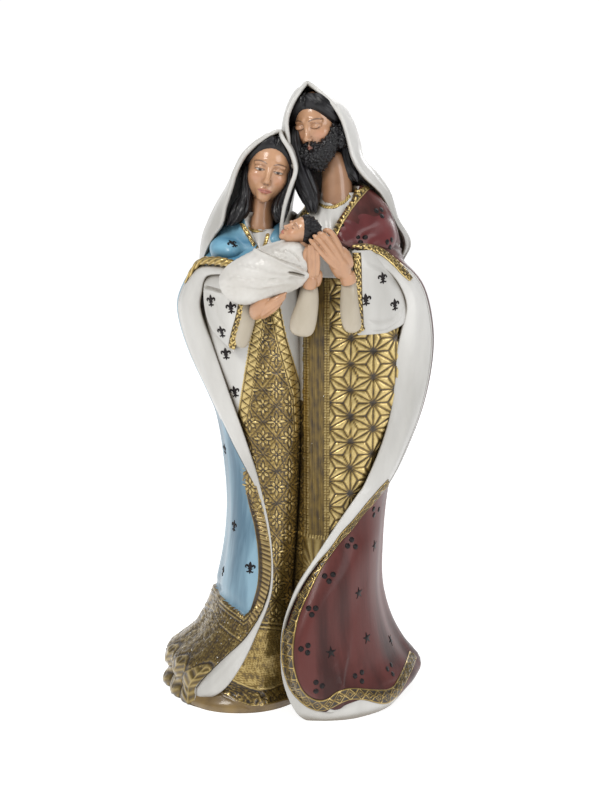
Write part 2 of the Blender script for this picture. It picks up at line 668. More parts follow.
def relief_gold(name, tone=1.0, warm=0.0, glitter=0.0):
    """Antique gold: bright on the tops of the relief and brown wash in its grooves."""
    material, tree, shader = shader_material(name)
    height = node(tree, "ShaderNodeAttribute", attribute_name="relief")
    cloud = noise(tree, 220, 4)
    stain = node(tree, "ShaderNodeMath", operation="MULTIPLY_ADD")
    tree.links.new(cloud.outputs["Fac"], stain.inputs[0])
    stain.inputs[1].default_value = 0.5
    stain.inputs[2].default_value = -0.25
    total = node(tree, "ShaderNodeMath", operation="ADD")
    tree.links.new(height.outputs["Fac"], total.inputs[0])
    tree.links.new(stain.outputs[0], total.inputs[1])
    gold = [(0.05, (0.016, 0.009, 0.003)), (0.30, (0.075 * tone, 0.046 * tone, 0.010)),
            (0.58, (0.30 * tone, (0.200 - warm) * tone, 0.052 * tone)),
            (0.95, (0.68 * tone, (0.52 - warm) * tone, 0.215 * tone))]
    colour = ramp(tree, total.outputs[0], gold).outputs["Color"]
    metal = ramp(tree, total.outputs[0], [(0.2, (0.2, 0.2, 0.2)), (0.6, (0.85, 0.85, 0.85))])
    if glitter:
        coords = node(tree, "ShaderNodeTexCoord")
        grains = node(tree, "ShaderNodeTexVoronoi")
        grains.inputs["Scale"].default_value = 1900
        tree.links.new(coords.outputs["Object"], grains.inputs["Vector"])
        pick = ramp(tree, grains.outputs["Color"],
                    [(1 - 0.32 * glitter, (0, 0, 0)), (1 - 0.28 * glitter, (1, 1, 1))])
        colour = mix_colour(tree, pick.outputs["Color"], colour, (0.80, 0.76, 0.66))
    colour = washed(tree, colour, (0.030, 0.019, 0.008), 0.003, 0.25, 0.75)
    tree.links.new(colour, shader.inputs["Base Color"])
    tree.links.new(metal.outputs["Color"], shader.inputs["Metallic"])
    varnish(shader, 0.30, 0.4, 0.12)
    add_bump(tree, shader, cloud.outputs["Fac"], 0.25, 0.0003)
    return material


def tinted(name, roughness=0.38, coat=0.8, bump=0.06):
    """Paint whose colour is laid on the surface point by point."""
    material, tree, shader = shader_material(name)
    tint = node(tree, "ShaderNodeAttribute", attribute_name="tint")
    cloud = noise(tree, 180, 4)
    shade = ramp(tree, cloud.outputs["Fac"], [(0.3, (0.86, 0.84, 0.82)), (0.7, (1, 1, 1))])
    colour = mix_colour(tree, 1.0, tint.outputs["Color"], shade.outputs["Color"], "MULTIPLY")
    colour = washed(tree, colour, (0.13, 0.055, 0.025), 0.003, 0.15, 0.78)
    tree.links.new(colour, shader.inputs["Base Color"])
    varnish(shader, roughness, coat, 0.08)
    add_bump(tree, shader, cloud.outputs["Fac"], bump)
    return material


WASH = (0.155, 0.125, 0.085)
PEARL = painted("pearl_white", (0.66, 0.65, 0.62), (0.44, 0.43, 0.40), 30, (1, 1, 0.3), 0.38, 0.35,
                wash=WASH)
IVORY = painted("ivory_cloth", (0.55, 0.49, 0.39), (0.36, 0.31, 0.23), 45, (1, 1, 0.4), 0.4, 0.35,
                wash=(0.12, 0.085, 0.05))
SWADDLE = painted("swaddling_white", (0.66, 0.645, 0.61), (0.50, 0.475, 0.43), 40, None, 0.42, 0.3,
                  wash=WASH)
BLUE = painted("blue_mantle", (0.23, 0.37, 0.46), (0.085, 0.165, 0.23), 110, (1, 1, 0.07), 0.36, 0.25,
               0.12, (0.36, 0.60), 0.35, (0.035, 0.06, 0.08))
SKY = painted("blue_cape", (0.20, 0.43, 0.57), (0.07, 0.23, 0.37), 90, (0.35, 1, 1), 0.36, 0.3,
              0.15, (0.36, 0.60), 0.4, (0.03, 0.07, 0.10))
MAROON = painted("maroon_mantle", (0.110, 0.030, 0.026), (0.042, 0.012, 0.010), 80, (1, 1, 0.09),
                 0.38, 0.10, 0.12, (0.38, 0.60), 0.22, (0.012, 0.004, 0.003))
CAPE_RED = painted("maroon_cape", (0.140, 0.028, 0.029), (0.085, 0.016, 0.017), 60, (1, 1, 0.25),
                   0.36, 0.18, 0.12, (0.36, 0.60), 0.28, (0.014, 0.004, 0.003))
HAIR = painted("black_hair", (0.0095, 0.0085, 0.011), (0.002, 0.0018, 0.002), 300, (1, 1, 0.2),
               0.30, 0.16, 0.35, (0.35, 0.65), 0.34)
INK = painted("dark_motif", (0.009, 0.0045, 0.005), (0.004, 0.002, 0.002), 200, None, 0.45, 0.1,
              0.12, (0.35, 0.65), 0.25)
GOLD = relief_gold("antique_gold", 0.88)
BRIGHT = relief_gold("bright_gold", 1.1)
GLITTER = relief_gold("glitter_gold", 0.72, 0.0, 0.12)
HEM_GOLD = relief_gold("hem_gold", 0.62, 0.0, 0.25)
LEAF_GOLD = relief_gold("leaf_gold", 0.62)
LACE = relief_gold("brown_gold_lace", 0.55, 0.015)
TRIM = relief_gold("lozenge_trim", 1.0)
LIP_GOLD = painted("base_gold", (0.24, 0.155, 0.050), (0.12, 0.072, 0.022), 80, None, 0.35, 0.5)
SKIN = tinted("varnished_skin")


def body_core(body):
    """Where the middle of a body is, level with a point."""
    def core(point):
        z = point[2]
        middle = (profile(body, "out", z) + profile(body, "in", z)) / 2
        return np.array([middle, profile(body, "wide", z), z])
    return core


# The gowns

def gown_rows(low, fine_low, fine_high, fine=0.45, coarse=3.0):
    return np.concatenate([np.arange(low, fine_low, coarse), np.arange(fine_low, fine_high, fine)])


def gown_turns(first, last, fine):
    front = np.arange(math.radians(first), math.radians(last), fine)
    back = np.arange(math.radians(last), math.radians(first + 360), 0.11)
    return np.concatenate([front, back[:-1] if len(back) > 1 else back])


def woman_gown():
    rows = gown_rows(0.0, 2.0, 206.0, 0.5)
    turns = gown_turns(-70, 58, 0.0182)
    grid = np.array([body_point(WOMAN, z, turns, GOWN_SET_BACK) for z in rows])
    x, z = grid[..., 0], grid[..., 2]
    px, py = pixels(grid)
    normals = grid_normals(grid, np.array([-20, 5, 100]))
    left = np.interp(z, [133, 142.6, 186, 200], [-40, -29.9, -22.5, -20])
    right = np.interp(z, [134, 153, 181.3, 200], [2.6, 1.6, -6.2, -10])
    slope_l, slope_r = 0.985, 0.95
    d_left, d_right = (x - left) * slope_l, (right - x) * slope_r
    height = rosettes(x + 4.8, z - 102.4)
    band = 5.2
    upper = z > 134
    in_left = (d_left > 0) & (d_left < band) & upper
    in_right = (d_right > 0) & (d_right < band) & upper
    height = np.where(in_right, zigzag(z / slope_r, d_right, band), height)
    height = np.where(in_left, zigzag(z / slope_l, d_left, band), height)
    first = np.interp(px, [200, 225, 235, 246, 257, 270, 284, 300],
                      [668, 676, 681, 686, 689.5, 688, 682.5, 674])
    second = np.interp(px, [200, 214, 226, 238, 250, 262, 275, 290],
                       [683, 688, 694, 701, 705.8, 706, 703, 698.5])
    double = np.interp(px, [240, 262, 284], [617, 622.5, 624])
    fine = 0.5 + 0.45 * np.tanh(2.5 * np.sin(x * 2.6 + 2 * np.sin(z * 2.1))
                                * np.sin(z * 2.9 + 2 * np.sin(x * 2.3)))
    height = np.where(py > double + 5, 0.35 + 0.5 * fine, height)
    flowers = rosettes(x * 2.1 + 3, (py - second) * 1.05, 9.0, 4.6, 3.2)
    height = np.where(py > first, flowers, height)
    lower = py > second
    height = np.where(lower, 0.62, height)
    for at, wide in ((double, 0.9), (double + 4.6, 0.9), (first, 1.0), (second, 1.2)):
        gap = py - at
        height = np.maximum(height, groove(gap, wide))
        height = height * (1 - 0.8 * groove(gap - 2.2 * wide, 0.7 * wide))
    plain = ((d_left < 0) & upper) | ((d_right < 0) & (z > 150))
    height = np.where(plain, 0.9, height)
    front = (np.cos(turns) > -0.2)[None, :]
    depth = np.where(plain, 0, 0.5 * (height - 0.6)) * front
    grid = grid + normals * depth[..., None]
    obj = make_piece("gown_woman", grid, ring_faces(*grid.shape[:2]), GOLD,
                     floats={"relief": height})
    paint_faces(obj, plain, PEARL)
    paint_faces(obj, lower, LIP_GOLD)
    return obj


def paint_faces(obj, mask, material):
    """Gives the quads of a ring grid whose corner is masked another material."""
    obj.data.materials.append(material)
    index = len(obj.data.materials) - 1
    chosen = mask[:-1].ravel()
    polygons = obj.data.polygons
    indices = np.zeros(len(polygons), np.int32)
    polygons.foreach_get("material_index", indices)
    indices[:len(chosen)][chosen] = index
    polygons.foreach_set("material_index", indices)


def man_gown():
    rows = np.concatenate([np.arange(0, 60, 3.0), np.arange(60, 216, 0.55)])
    turns = gown_turns(-62, 78, 0.0188)
    grid = np.array([body_point(MAN, z, turns, GOWN_SET_BACK) for z in rows])
    x, z = grid[..., 0], grid[..., 2]
    normals = grid_normals(grid, np.array([20, 5, 100]))
    stars = star_leaves(x - 24.0, z - 181.7)
    panel = (x > 1.4) & (x < 14.1)
    beads = np.zeros_like(x)
    for at in (2.2, 3.6, 12.0, 13.4):
        ball = np.sqrt((x - at) ** 2 + (((z / 1.35) % 1 - 0.5) * 1.35) ** 2)
        beads = np.maximum(beads, np.clip(1 - (ball / 0.62) ** 2, 0, 1) ** 0.5)
    smooth = 0.46 + 0.10 * np.sin(x * 4.3 + 1.5 * np.sin(x * 1.9)) + 0.05 * np.sin(z * 0.4 + 2 * x)
    height = np.where(panel, np.maximum(smooth * (beads < 0.05), 0.25 + 0.75 * beads), stars)
    height = np.where(x < 1.4, rosettes(x + 4.8, z - 102.4), height)
    fan = (z < 86) & panel
    height = np.where(fan, 0.35 + 0.5 * np.abs(np.sin(1.6 * np.arctan2(z - 70, x - 7) * 6)), height)
    height = np.where(np.abs(z - 86.5) < 0.9, 0.3 + 0.7 * np.abs(np.sin(x * 2.3)), height)
    plain = (x < 1.2) & (z > 150)
    height = np.where(plain, 0.9, height)
    front = (np.cos(turns) > -0.2)[None, :]
    depth = np.where(plain, 0, 0.55 * (height - 0.6)) * front
    grid = grid + normals * depth[..., None]
    obj = make_piece("gown_man", grid, ring_faces(*grid.shape[:2]), GOLD,
                     floats={"relief": height})
    paint_faces(obj, panel, GLITTER)
    paint_faces(obj, plain, PEARL)
    return obj


# The mantles

def mantle_grid(body, lip, top, fine_below, hem=None):
    near = np.linspace(0, 0.30, 60, endpoint=False)
    shares = np.concatenate([near, np.linspace(0.30, 1, 56)])
    rows = np.concatenate([np.arange(0, fine_below, 0.6), np.arange(fine_below, top, 3.0)])
    outer = mantle_row(body, lip, rows[:, None], shares[None, :])
    inner = mantle_row(body, lip, rows[:, None], np.linspace(0, 1, 14)[None, :], MANTLE_WALL)
    if hem is None:
        return outer, inner
    angles, line, (middle, wide) = hem
    reach = 30.0
    low = rows < reach
    base = mantle_row(body, lip, np.maximum(rows[low], 3.0)[:, None], shares[None, :])
    angle = np.unwrap(np.arctan2(base[..., 0] - middle, wide - base[..., 1]), axis=1)
    target = np.stack([np.interp(angle, angles, column) for column in line.T], axis=-1)
    height = target[..., 2] + rows[low][:, None] / reach * (reach - target[..., 2])
    lifted = mantle_row(body, lip, height, shares[None, :])
    floor = mantle_row(body, lip, target[..., 2], shares[None, :])
    fade = (1 - np.clip((height - target[..., 2]) / (reach - 8), 0, 1)) ** 2
    lifted[..., :2] += (fade[..., None] * (target - floor))[..., :2]
    outer[low] = lifted
    inner[..., 2] = np.maximum(inner[..., 2], 5.0)
    return outer, inner


def woman_mantle():
    outer, inner = mantle_grid(WOMAN, WOMAN_LIP, 241, 60)
    z = outer[..., 2]
    px, py = pixels(outer)
    normals = grid_normals(outer, np.array([-20, 5, 100]))
    front = np.arange(outer.shape[1])[None, :] < 76
    line = np.interp(px, [205, 213.6, 220, 229, 238, 244, 248, 255],
                     [578, 583, 597, 605, 611.5, 616.5, 613, 606])
    gap = np.where(front, py - line, (50.5 - z) * 2.05)
    gold = gap > 0
    run = np.concatenate([np.zeros((len(outer), 1)),
                          np.cumsum(np.linalg.norm(np.diff(outer, axis=1), axis=2), axis=1)], 1)
    curls = np.sin(run * 2.3 + 1.8 * np.sin(z * 1.7)) * np.sin(z * 2.1 + 1.8 * np.sin(run * 1.5))
    curls = curls + 0.7 * np.sin(run * 4.1 + 2 * np.sin(z * 2.6)) * np.sin(z * 3.7 + run)
    height = 0.52 + 0.30 * np.tanh(1.6 * curls)
    sway = np.abs((run / 17.0 + 0.25) % 1 - 0.5) * 2
    edge = 15.0 + 7.0 * (1 - sway ** 2)
    leaf = z < edge
    ribs = np.sin(1.55 * z - 9.0 * sway + 2.0 * sway ** 2)
    height = np.where(leaf, 0.56 + 0.22 * ribs * np.clip((0.93 - sway) / 0.1, 0, 1), height)
    height = np.where(leaf, np.maximum(height, 0.95 * groove(sway, 0.07)), height)
    height = np.maximum(height, groove(z - edge, 0.6))
    height = height * (1 - 0.9 * groove(z - edge - 1.5, 0.5))
    height = height * (1 - 0.85 * groove(sway - 1.0, 0.05) * leaf)
    for at in (3.5, 7.5, 26.0):
        height = np.where(gold, np.maximum(height, groove(gap - at, 1.0)), height)
        height = height * (1 - 0.8 * groove(gap - at - 2.2, 0.8))
    height = np.where(gold, height, 0.5)
    lobe = 1.1 * (1 - sway ** 2) * np.clip((edge - z) / 8, 0, 1)
    shift = np.where(gold, 0.9 * (height - 0.45) + 0.3 + np.where(leaf, lobe, 0), 0)
    hollow = 0.9 * groove(gap + 5.0, 7.0) * ~gold
    outer = outer + normals * (shift - hollow)[..., None]
    outer[..., 2] = np.maximum(outer[..., 2], 0.0)
    rings = shell_rings(outer, inner)
    values = np.concatenate([height, np.full(inner.shape[:2], 0.3)], axis=1)
    obj = make_piece("mantle_woman", rings, ring_faces(*rings.shape[:2]), BLUE,
                     floats={"relief": values})
    border = (np.arange(outer.shape[1])[None, :] < 4) & (py < 425) & (z < 205)
    for mask, material in ((z > 205, SKY), (gold & ~leaf, HEM_GOLD), (gold & leaf, LEAF_GOLD),
                           (border, PEARL)):
        chosen = np.zeros(rings.shape[:2], bool)
        chosen[:, :outer.shape[1]] = mask
        paint_faces(obj, chosen, material)
    line_inside(obj, rings.shape[:2], outer.shape[1])
    return obj, outer


def line_inside(obj, shape, first):
    """Paints the inner sheet of a mantle white."""
    chosen = np.zeros(shape, bool)
    chosen[:, first - 1:] = True
    paint_faces(obj, chosen, PEARL)


def man_mantle():
    outer, inner = mantle_grid(MAN, MAN_LIP, 255, 30, man_hem())
    crease = smooth_curve([(24, 38), (21.5, 28), (20, 20), (19.5, 12)], 30)
    x, z = outer[..., 0], outer[..., 2]
    normals = grid_normals(outer, np.array([20, 5, 100]))
    at = np.interp(z, crease[::-1, 1], crease[::-1, 0])
    fold = np.where(x < at, np.exp(-np.clip(at - x, 0, 99) / 6.0), np.exp(-((x - at) / 0.9) ** 2))
    fade = np.clip((46 - z) / 16, 0, 1) * (outer[..., 1] < 0)
    outer = outer + normals * (0.9 * fold * fade)[..., None]
    rings = shell_rings(outer, inner)
    obj = make_piece("mantle_man", rings, ring_faces(*rings.shape[:2]), MAROON)
    py = pixels(outer)[1]
    border = np.zeros(rings.shape[:2], bool)
    border[:, :4] = (py[:, :4] < 476) & (z[:, :4] < 222)
    paint_faces(obj, border, PEARL)
    line_inside(obj, rings.shape[:2], outer.shape[1])
    return obj, outer


def rolled_lip(name, lip, count, bulge):
    outer, normal = lip_sheet(lip, count, 25, bulge)
    width = np.linalg.norm(outer[:, -1] - outer[:, 0], axis=1)[:, None, None]
    bow = np.sin(math.pi * np.linspace(0, 1, 25))[None, :, None]
    z = outer[..., 2:]
    share = np.linspace(0, 1, 25)[None, :, None]
    soft = np.clip((width - 5) / 8, 0, 1)
    waves = np.sin(share * 7 + z * 0.045) + 0.6 * np.sin(share * 12 - z * 0.08 + 1.3)
    outer = outer + normal[:, None] * (0.38 * soft * waves * bow)
    wall = np.clip(width * 0.55, 1.0, 3.0)
    inner = outer - normal[:, None] * (wall * 0.4 + wall * bow)
    outer = outer - normal[:, None] * 0.25
    inner = inner[:, ::4]
    outer[..., 2] = np.maximum(outer[..., 2], 0.0)
    inner[..., 2] = np.maximum(inner[..., 2], 0.0)
    rings = shell_rings(outer, inner)
    return make_piece(name, rings, ring_faces(*rings.shape[:2]), PEARL), outer


def over_cloth(grid, cloth, body, lift):
    """Moves the back of a sheet out until it lies on the cloth under it."""
    core = body_core(body)
    for index in np.ndindex(grid.shape[:2]):
        point = grid[index]
        middle = core(point)
        if point[1] < middle[1] - 9:
            continue
        way = point - middle
        reach = np.linalg.norm(way)
        if reach < 2:
            continue
        way /= reach
        hit = cloth.ray_cast(Vector(middle + way * 90), Vector(-way))
        if hit[0] is None:
            continue
        under = 90 - hit[3] + lift * min(1.0, (point[1] - middle[1] + 9) / 6)
        if under > reach:
            grid[index] = middle + way * under
    return grid


def veil(name, rows, cloth, body, wall=1.7):
    net = np.array(rows, float)
    levels = smooth_curve(net, 120)
    outer = np.array([veil_row(row) for row in levels])
    outer = over_cloth(outer, cloth, body, 1.0)
    inner = np.array([veil_row(row, wall, 31) for row in levels])
    inner[:, :, 2] -= np.linspace(VEIL_WALL * 0.3, 0, len(levels))[:, None]
    z = outer[..., 2]
    along = np.linspace(0, 1, outer.shape[1])[None, :]
    soft = np.clip((levels[0, 0] - z) / 30, 0, 1) * np.sin(math.pi * along) ** 0.5
    waves = 0.5 * np.sin(along * 34 + 0.05 * z) + 0.25 * np.sin(along * 61 - 0.07 * z + 1)
    outer = outer + grid_normals(outer, outer.mean((0, 1))) * (waves * soft)[..., None]
    rings = shell_rings(outer, inner)
    forms = Forms()
    forms.add_rings(rings)
    left, right = outer[84::-4, 0], outer[::4, -1][:22]
    path = np.concatenate([left * 0.97 + inner[84::-4, 0] * 0.03,
                           right * 0.97 + inner[::4, -1][:22] * 0.03])
    forms.limb(path, [0.7, 1.0, 1.1, 1.1, 1.0, 0.7], count=130, sides=12)
    return forms.piece(name, PEARL), outer


# Heads

def face_distance(p):
    m = p.copy()
    m[..., 0] = np.abs(m[..., 0])
    d = ellipsoid(m, (0, 0.13, 0.26), (0.72, 0.85, 0.74))
    d = blend(d, ellipsoid(m, (0, -0.18, -0.26), (0.61, 0.57, 0.72)), 0.16)
    d = blend(d, ellipsoid(m, (0, -0.56, -0.86), (0.19, 0.16, 0.13)), 0.14)
    d = blend(d, ellipsoid(m, (0.35, -0.45, -0.24), (0.20, 0.20, 0.20)), 0.16)
    d = blend(d, capsule(m, (0.12, -0.70, 0.19), (0.42, -0.58, 0.15), 0.06, 0.05), 0.10)
    d = -blend(-d, ellipsoid(m, (0.28, -0.90, 0.03), (0.19, 0.17, 0.12)), 0.09)
    d = blend(d, ellipsoid(m, (0.28, -0.61, 0.01), (0.165, 0.155, 0.120)), 0.025)
    lid = np.maximum(ellipsoid(m, (0.28, -0.61, 0.012), (0.180, 0.175, 0.130)),
                     -(m[..., 2] + 0.045 + 0.25 * (m[..., 0] - 0.28) ** 2 / 0.15))
    d = blend(d, lid, 0.012)
    d = blend(d, capsule(m, (0, -0.70, 0.12), (0, -0.865, -0.31), 0.062, 0.080), 0.11)
    d = blend(d, ellipsoid(m, (0.0, -0.895, -0.345), (0.086, 0.075, 0.070)), 0.06)
    d = blend(d, ellipsoid(m, (0.095, -0.82, -0.375), (0.060, 0.072, 0.052)), 0.04)
    d = -blend(-d, ellipsoid(m, (0.05, -0.885, -0.425), (0.028, 0.038, 0.022)), 0.02)
    d = blend(d, ellipsoid(m, (0, -0.63, -0.60), (0.25, 0.15, 0.19)), 0.12)
    d = blend(d, capsule(m, (0.025, -0.795, -0.575), (0.20, -0.715, -0.612), 0.038, 0.014), 0.025)
    d = blend(d, capsule(m, (0, -0.790, -0.665), (0.16, -0.720, -0.640), 0.048, 0.016), 0.03)
    d = -blend(-d, capsule(m, (0, -0.860, -0.618), (0.20, -0.745, -0.622), 0.013, 0.008), 0.015)
    return -blend(-d, ellipsoid(m, (0, -0.83, -0.765), (0.13, 0.07, 0.035)), 0.05)


def face_paint(local, skin, lips, brows, eyes):
    x, y, z = local[..., 0], local[..., 1], local[..., 2]
    ax = np.abs(x)
    tint = np.ones(local.shape) * np.array(skin)

    def lay(mask, colour):
        weight = np.clip(mask, 0, 1)[..., None]
        tint[...] = tint * (1 - weight) + np.array(colour) * weight

    front = (y < -0.3).astype(float)
    lay(0.30 * np.exp(-((ax - 0.36) ** 2 + (z + 0.28) ** 2) / 0.03) * front, (0.60, 0.22, 0.14))
    lay(0.40 * np.exp(-((ax - 0.28) ** 2 / 0.03 + (z - 0.10) ** 2 / 0.004)) * front,
        (0.30, 0.16, 0.09))
    lay(0.35 * np.exp(-((ax - 0.13) ** 2 / 0.004 + (z + 0.38) ** 2 / 0.010)) * front,
        (0.30, 0.15, 0.08))
    half = np.clip(1 - (x / 0.23) ** 2, 0, 1)
    top = -0.620 + 0.070 * half * (1 - 0.35 * np.exp(-(x / 0.04) ** 2))
    bottom = -0.620 - 0.095 * half
    lay(((z < top) & (z > bottom) & (ax < 0.23)) * 0.85 * front, lips)
    lay(0.85 * np.exp(-((z + 0.620 + 0.010 * half) / 0.011) ** 2) * (ax < 0.22) * front,
        (0.16, 0.035, 0.028))
    lay(0.85 * np.exp(-((ax - 0.05) ** 2 + (z + 0.425) ** 2) / 0.0008) * front,
        (0.14, 0.05, 0.03))
    arch = np.clip(1 - ((ax - 0.30) / 0.22) ** 2, 0, 1)
    lay(0.9 * np.exp(-((z - 0.165 - 0.060 * arch) / (0.008 + 0.014 * arch)) ** 2)
        * (np.abs(ax - 0.30) < 0.20) * front, brows)
    across = np.clip(1 - ((ax - 0.28) / 0.155) ** 2, 0, 1)
    inside = (np.abs(ax - 0.28) < 0.155) & (y < -0.3)
    if eyes == "open":
        upper, lower = -0.018 + 0.026 * across, -0.018 - 0.050 * across
        opening = inside & (z < upper) & (z > lower)
        lay(opening * 0.9, (0.60, 0.56, 0.50))
        iris = np.sqrt((ax - 0.278) ** 2 + (z + 0.022) ** 2)
        lay((opening & (iris < 0.050)) * 1.0, (0.030, 0.014, 0.009))
        lay(0.95 * np.exp(-((z - upper) / 0.014) ** 2) * inside, (0.02, 0.010, 0.008))
        lay(0.45 * np.exp(-((z - lower) / 0.008) ** 2) * inside, (0.18, 0.08, 0.05))
    else:
        lower = -0.018 - 0.048 * across
        lay(0.95 * np.exp(-((z - lower) / 0.015) ** 2) * inside, (0.02, 0.010, 0.008))
    lay(0.55 * np.exp(-((z - 0.060 - 0.050 * across) / 0.011) ** 2) * inside, (0.20, 0.09, 0.05))
    return tint


def head_piece(name, head, rows, turns, cloth=None, **paint):
    centre, half, look, crown = head
    lift = np.concatenate([np.linspace(-1.54, -1.1, 8, endpoint=False),
                           np.linspace(-1.1, 0.75, rows), np.linspace(0.75, 1.54, 12)[1:]])
    round_ = np.concatenate([np.linspace(-1.15, 1.15, turns),
                             np.linspace(1.15, 2 * math.pi - 1.15, 24)[1:-1]])
    lift, round_ = lift[:, None], round_[None, :]
    rays = np.stack([np.cos(lift) * np.sin(round_), -np.cos(lift) * np.cos(round_),
                     np.sin(lift) + 0 * round_], axis=-1)
    reach = head_reach(rays)
    tint = face_paint(rays * reach[..., None], **paint)
    local = rays * under_cloth(reach * half, rays, head, cloth, SKULL_GAP)[..., None] / half
    grid = local * half @ facing(look, crown).T + np.array(centre)
    return make_piece(name, grid, ring_faces(*grid.shape[:2]), SKIN, colours={"tint": tint})


def under_cloth(reach, rays, head, cloth, gap):
    """Keeps a skull and its hair inside the cloth that covers it."""
    if cloth is None:
        return reach
    frame_ = facing(head[2], head[3])
    for index in np.ndindex(reach.shape):
        hit = cloth.ray_cast(Vector(head[0]), Vector(frame_ @ rays[index]))
        if hit[0] is not None:
            reach[index] = min(reach[index], max(hit[3] - gap, 1.0))
    return reach


def tint_all(obj, colour):
    data = obj.data
    rgba = np.ones((len(data.vertices), 4), np.float32)
    rgba[:, :3] = colour
    if "tint" in data.attributes:
        data.attributes.remove(data.attributes["tint"])
    data.attributes.new("tint", "FLOAT_COLOR", "POINT").data.foreach_set("color", rgba.ravel())


SKIN_TONE = (0.56, 0.31, 0.17)
HAND_TONE = (0.50, 0.265, 0.14)


def heads(veil_w, veil_m):
    head_piece("head_woman", WOMAN_HEAD, 110, 116, surface_of(veil_w), skin=SKIN_TONE,
               lips=(0.46, 0.14, 0.10), brows=(0.05, 0.025, 0.018), eyes="open")
    head_piece("head_man", MAN_HEAD, 110, 116, surface_of(veil_m), skin=(0.50, 0.27, 0.145),
               lips=(0.34, 0.12, 0.09), brows=(0.04, 0.022, 0.016), eyes="closed")
    head_piece("head_baby", BABY_HEAD, 72, 72, skin=(0.58, 0.32, 0.18), lips=(0.50, 0.15, 0.11),
               brows=(0.12, 0.06, 0.04), eyes="closed")
    for name, path, radii, tone in (
            ("neck_woman", [(-17.0, -3, 250), (-18.4, -4.6, 241), (-19.4, -6, 227)],
             (6.0, 5.5, 7.2), (0.44, 0.235, 0.125)),
            ("neck_man", [(14.5, -2, 268), (17.2, -4, 256), (17.6, -4, 240)],
             (6.6, 6.9, 9.0), (0.36, 0.19, 0.10)),
            ("neck_baby", [(0.5, -38, 229), (2, -39, 222)], (5.2, 6.0), (0.54, 0.30, 0.17))):
        forms = Forms()
        forms.limb(path, radii)
        tint_all(forms.piece(name, SKIN), tone)


def hair(veil_w, veil_m):
    def woman_line(p):
        oval = np.hypot(p[..., 0] / 0.66, (p[..., 2] + 0.22) / 0.87) - 1
        low = -p[..., 2] - 0.80
        return np.where(p[..., 1] < -0.05, np.where(low > 0, -low, oval), 1.0)
    hair_cap("hair_cap_woman", WOMAN_HEAD, woman_line, 0.20, cloth=surface_of(veil_w), top=275.4)
    forms = Forms()
    lock_bunch(forms, [(-24.6, -8, 262), (-25.2, -8.5, 254), (-26.0, -9.5, 247),
                       (-28.6, -11.5, 240.5), (-33.0, -13.5, 234)],
               (2.0, 2.8, 3.2, 4.2, 2.2), 9, 1.0, 0.3)
    lock_bunch(forms, [(-4.2, -8, 262), (-4.6, -8.5, 254), (-7.2, -10, 247), (-9.4, -12, 241),
                       (-8.8, -14.5, 235.6)], (1.8, 2.6, 3.4, 4.0, 2.2), 8, 0.8, 1.1)
    forms.piece("hair_woman", HAIR)

    def man_line(p):
        oval = np.hypot((p[..., 0] - 0.04) / 0.62, (p[..., 2] + 0.26) / 0.82) - 1
        low = -p[..., 2] - 0.60
        return np.where(p[..., 1] < -0.05, np.where(low > 0, -low, oval), 1.0)
    hair_cap("hair_cap_man", MAN_HEAD, man_line, 0.20, 20, cloth=surface_of(veil_m), top=295.4)
    forms = Forms()
    lock_bunch(forms, [(-1.9, -7.0, 281), (-1.9, -7.5, 272), (-0.4, -7.5, 263), (2.0, -8.5, 255),
                       (4.8, -10, 247), (6.4, -12.5, 240)],
               (2.2, 3.8, 4.8, 5.0, 4.4, 2.2), 9, 0.8, 0.7)
    lock_bunch(forms, [(19.5, -3, 285), (20.6, -3.5, 277), (21.8, -4, 268), (23.2, -4.5, 260),
                       (26.0, -5, 254)], (2.2, 3.2, 3.8, 3.6, 2.0), 8, 0.7, 1.9)
    forms.piece("hair_man", HAIR)

    def baby_line(p):
        return p[..., 1] * 1.0 + p[..., 2] * 0.9 - 0.02
    hair_cap("hair_baby", BABY_HEAD, baby_line, 0.10, 20, 62, 120, curls=0.45)


def beard():
    forms = Forms()
    jaw = on_head(MAN_HEAD, [(-0.60, -0.12, 0.02), (-0.58, -0.34, -0.36), (-0.38, -0.52, -0.76),
                             (0, -0.62, -0.98), (0.40, -0.52, -0.76), (0.62, -0.30, -0.36),
                             (0.66, -0.08, 0.05)])
    forms.limb(jaw, (1.6, 3.2, 4.8, 5.6, 5.0, 3.2, 1.5), count=60)
    tuft = on_head(MAN_HEAD, [(0.10, -0.60, -0.92), (0.16, -0.60, -1.18), (0.18, -0.52, -1.36)])
    forms.limb(tuft, (5.2, 4.4, 2.2), count=40)
    fill = on_head(MAN_HEAD, [(0.70, 0.05, -0.05), (0.72, -0.02, -0.45), (0.60, -0.10, -0.85)])
    forms.limb(fill, (2.6, 4.0, 3.4), count=40)
    for side in (-1, 1):
        lip_hair = on_head(MAN_HEAD, [(0.03 * side, -0.83, -0.50), (0.18 * side, -0.78, -0.53),
                                      (0.34 * side, -0.64, -0.66), (0.40 * side, -0.56, -0.80)])
        forms.limb(lip_hair, (0.9, 1.2, 1.3, 1.2), count=40)
    obj = forms.fused("beard_man", HAIR, 0.38, 2)
    mesh = obj.data
    co = np.zeros(len(mesh.vertices) * 3)
    no = np.zeros(len(mesh.vertices) * 3)
    mesh.vertices.foreach_get("co", co)
    mesh.vertices.foreach_get("normal", no)
    co, no = co.reshape(-1, 3), no.reshape(-1, 3)
    p = co / MM
    curl = (np.sin(p[:, 0] * 2.0 + 1.6 * np.sin(p[:, 2] * 1.4)) *
            np.sin(p[:, 2] * 1.9 + 1.6 * np.sin(p[:, 0] * 1.7 + p[:, 1])))
    curl = curl + 0.5 * np.sin(p[:, 0] * 4.1 + 2 * np.sin(p[:, 2] * 3.3)) * np.sin(p[:, 2] * 4.6)
    co = co + no * (0.55 * MM * curl)[:, None]
    mesh.vertices.foreach_set("co", co.ravel())
    mesh.update()


# Hands, sleeves and the baby's wrapping

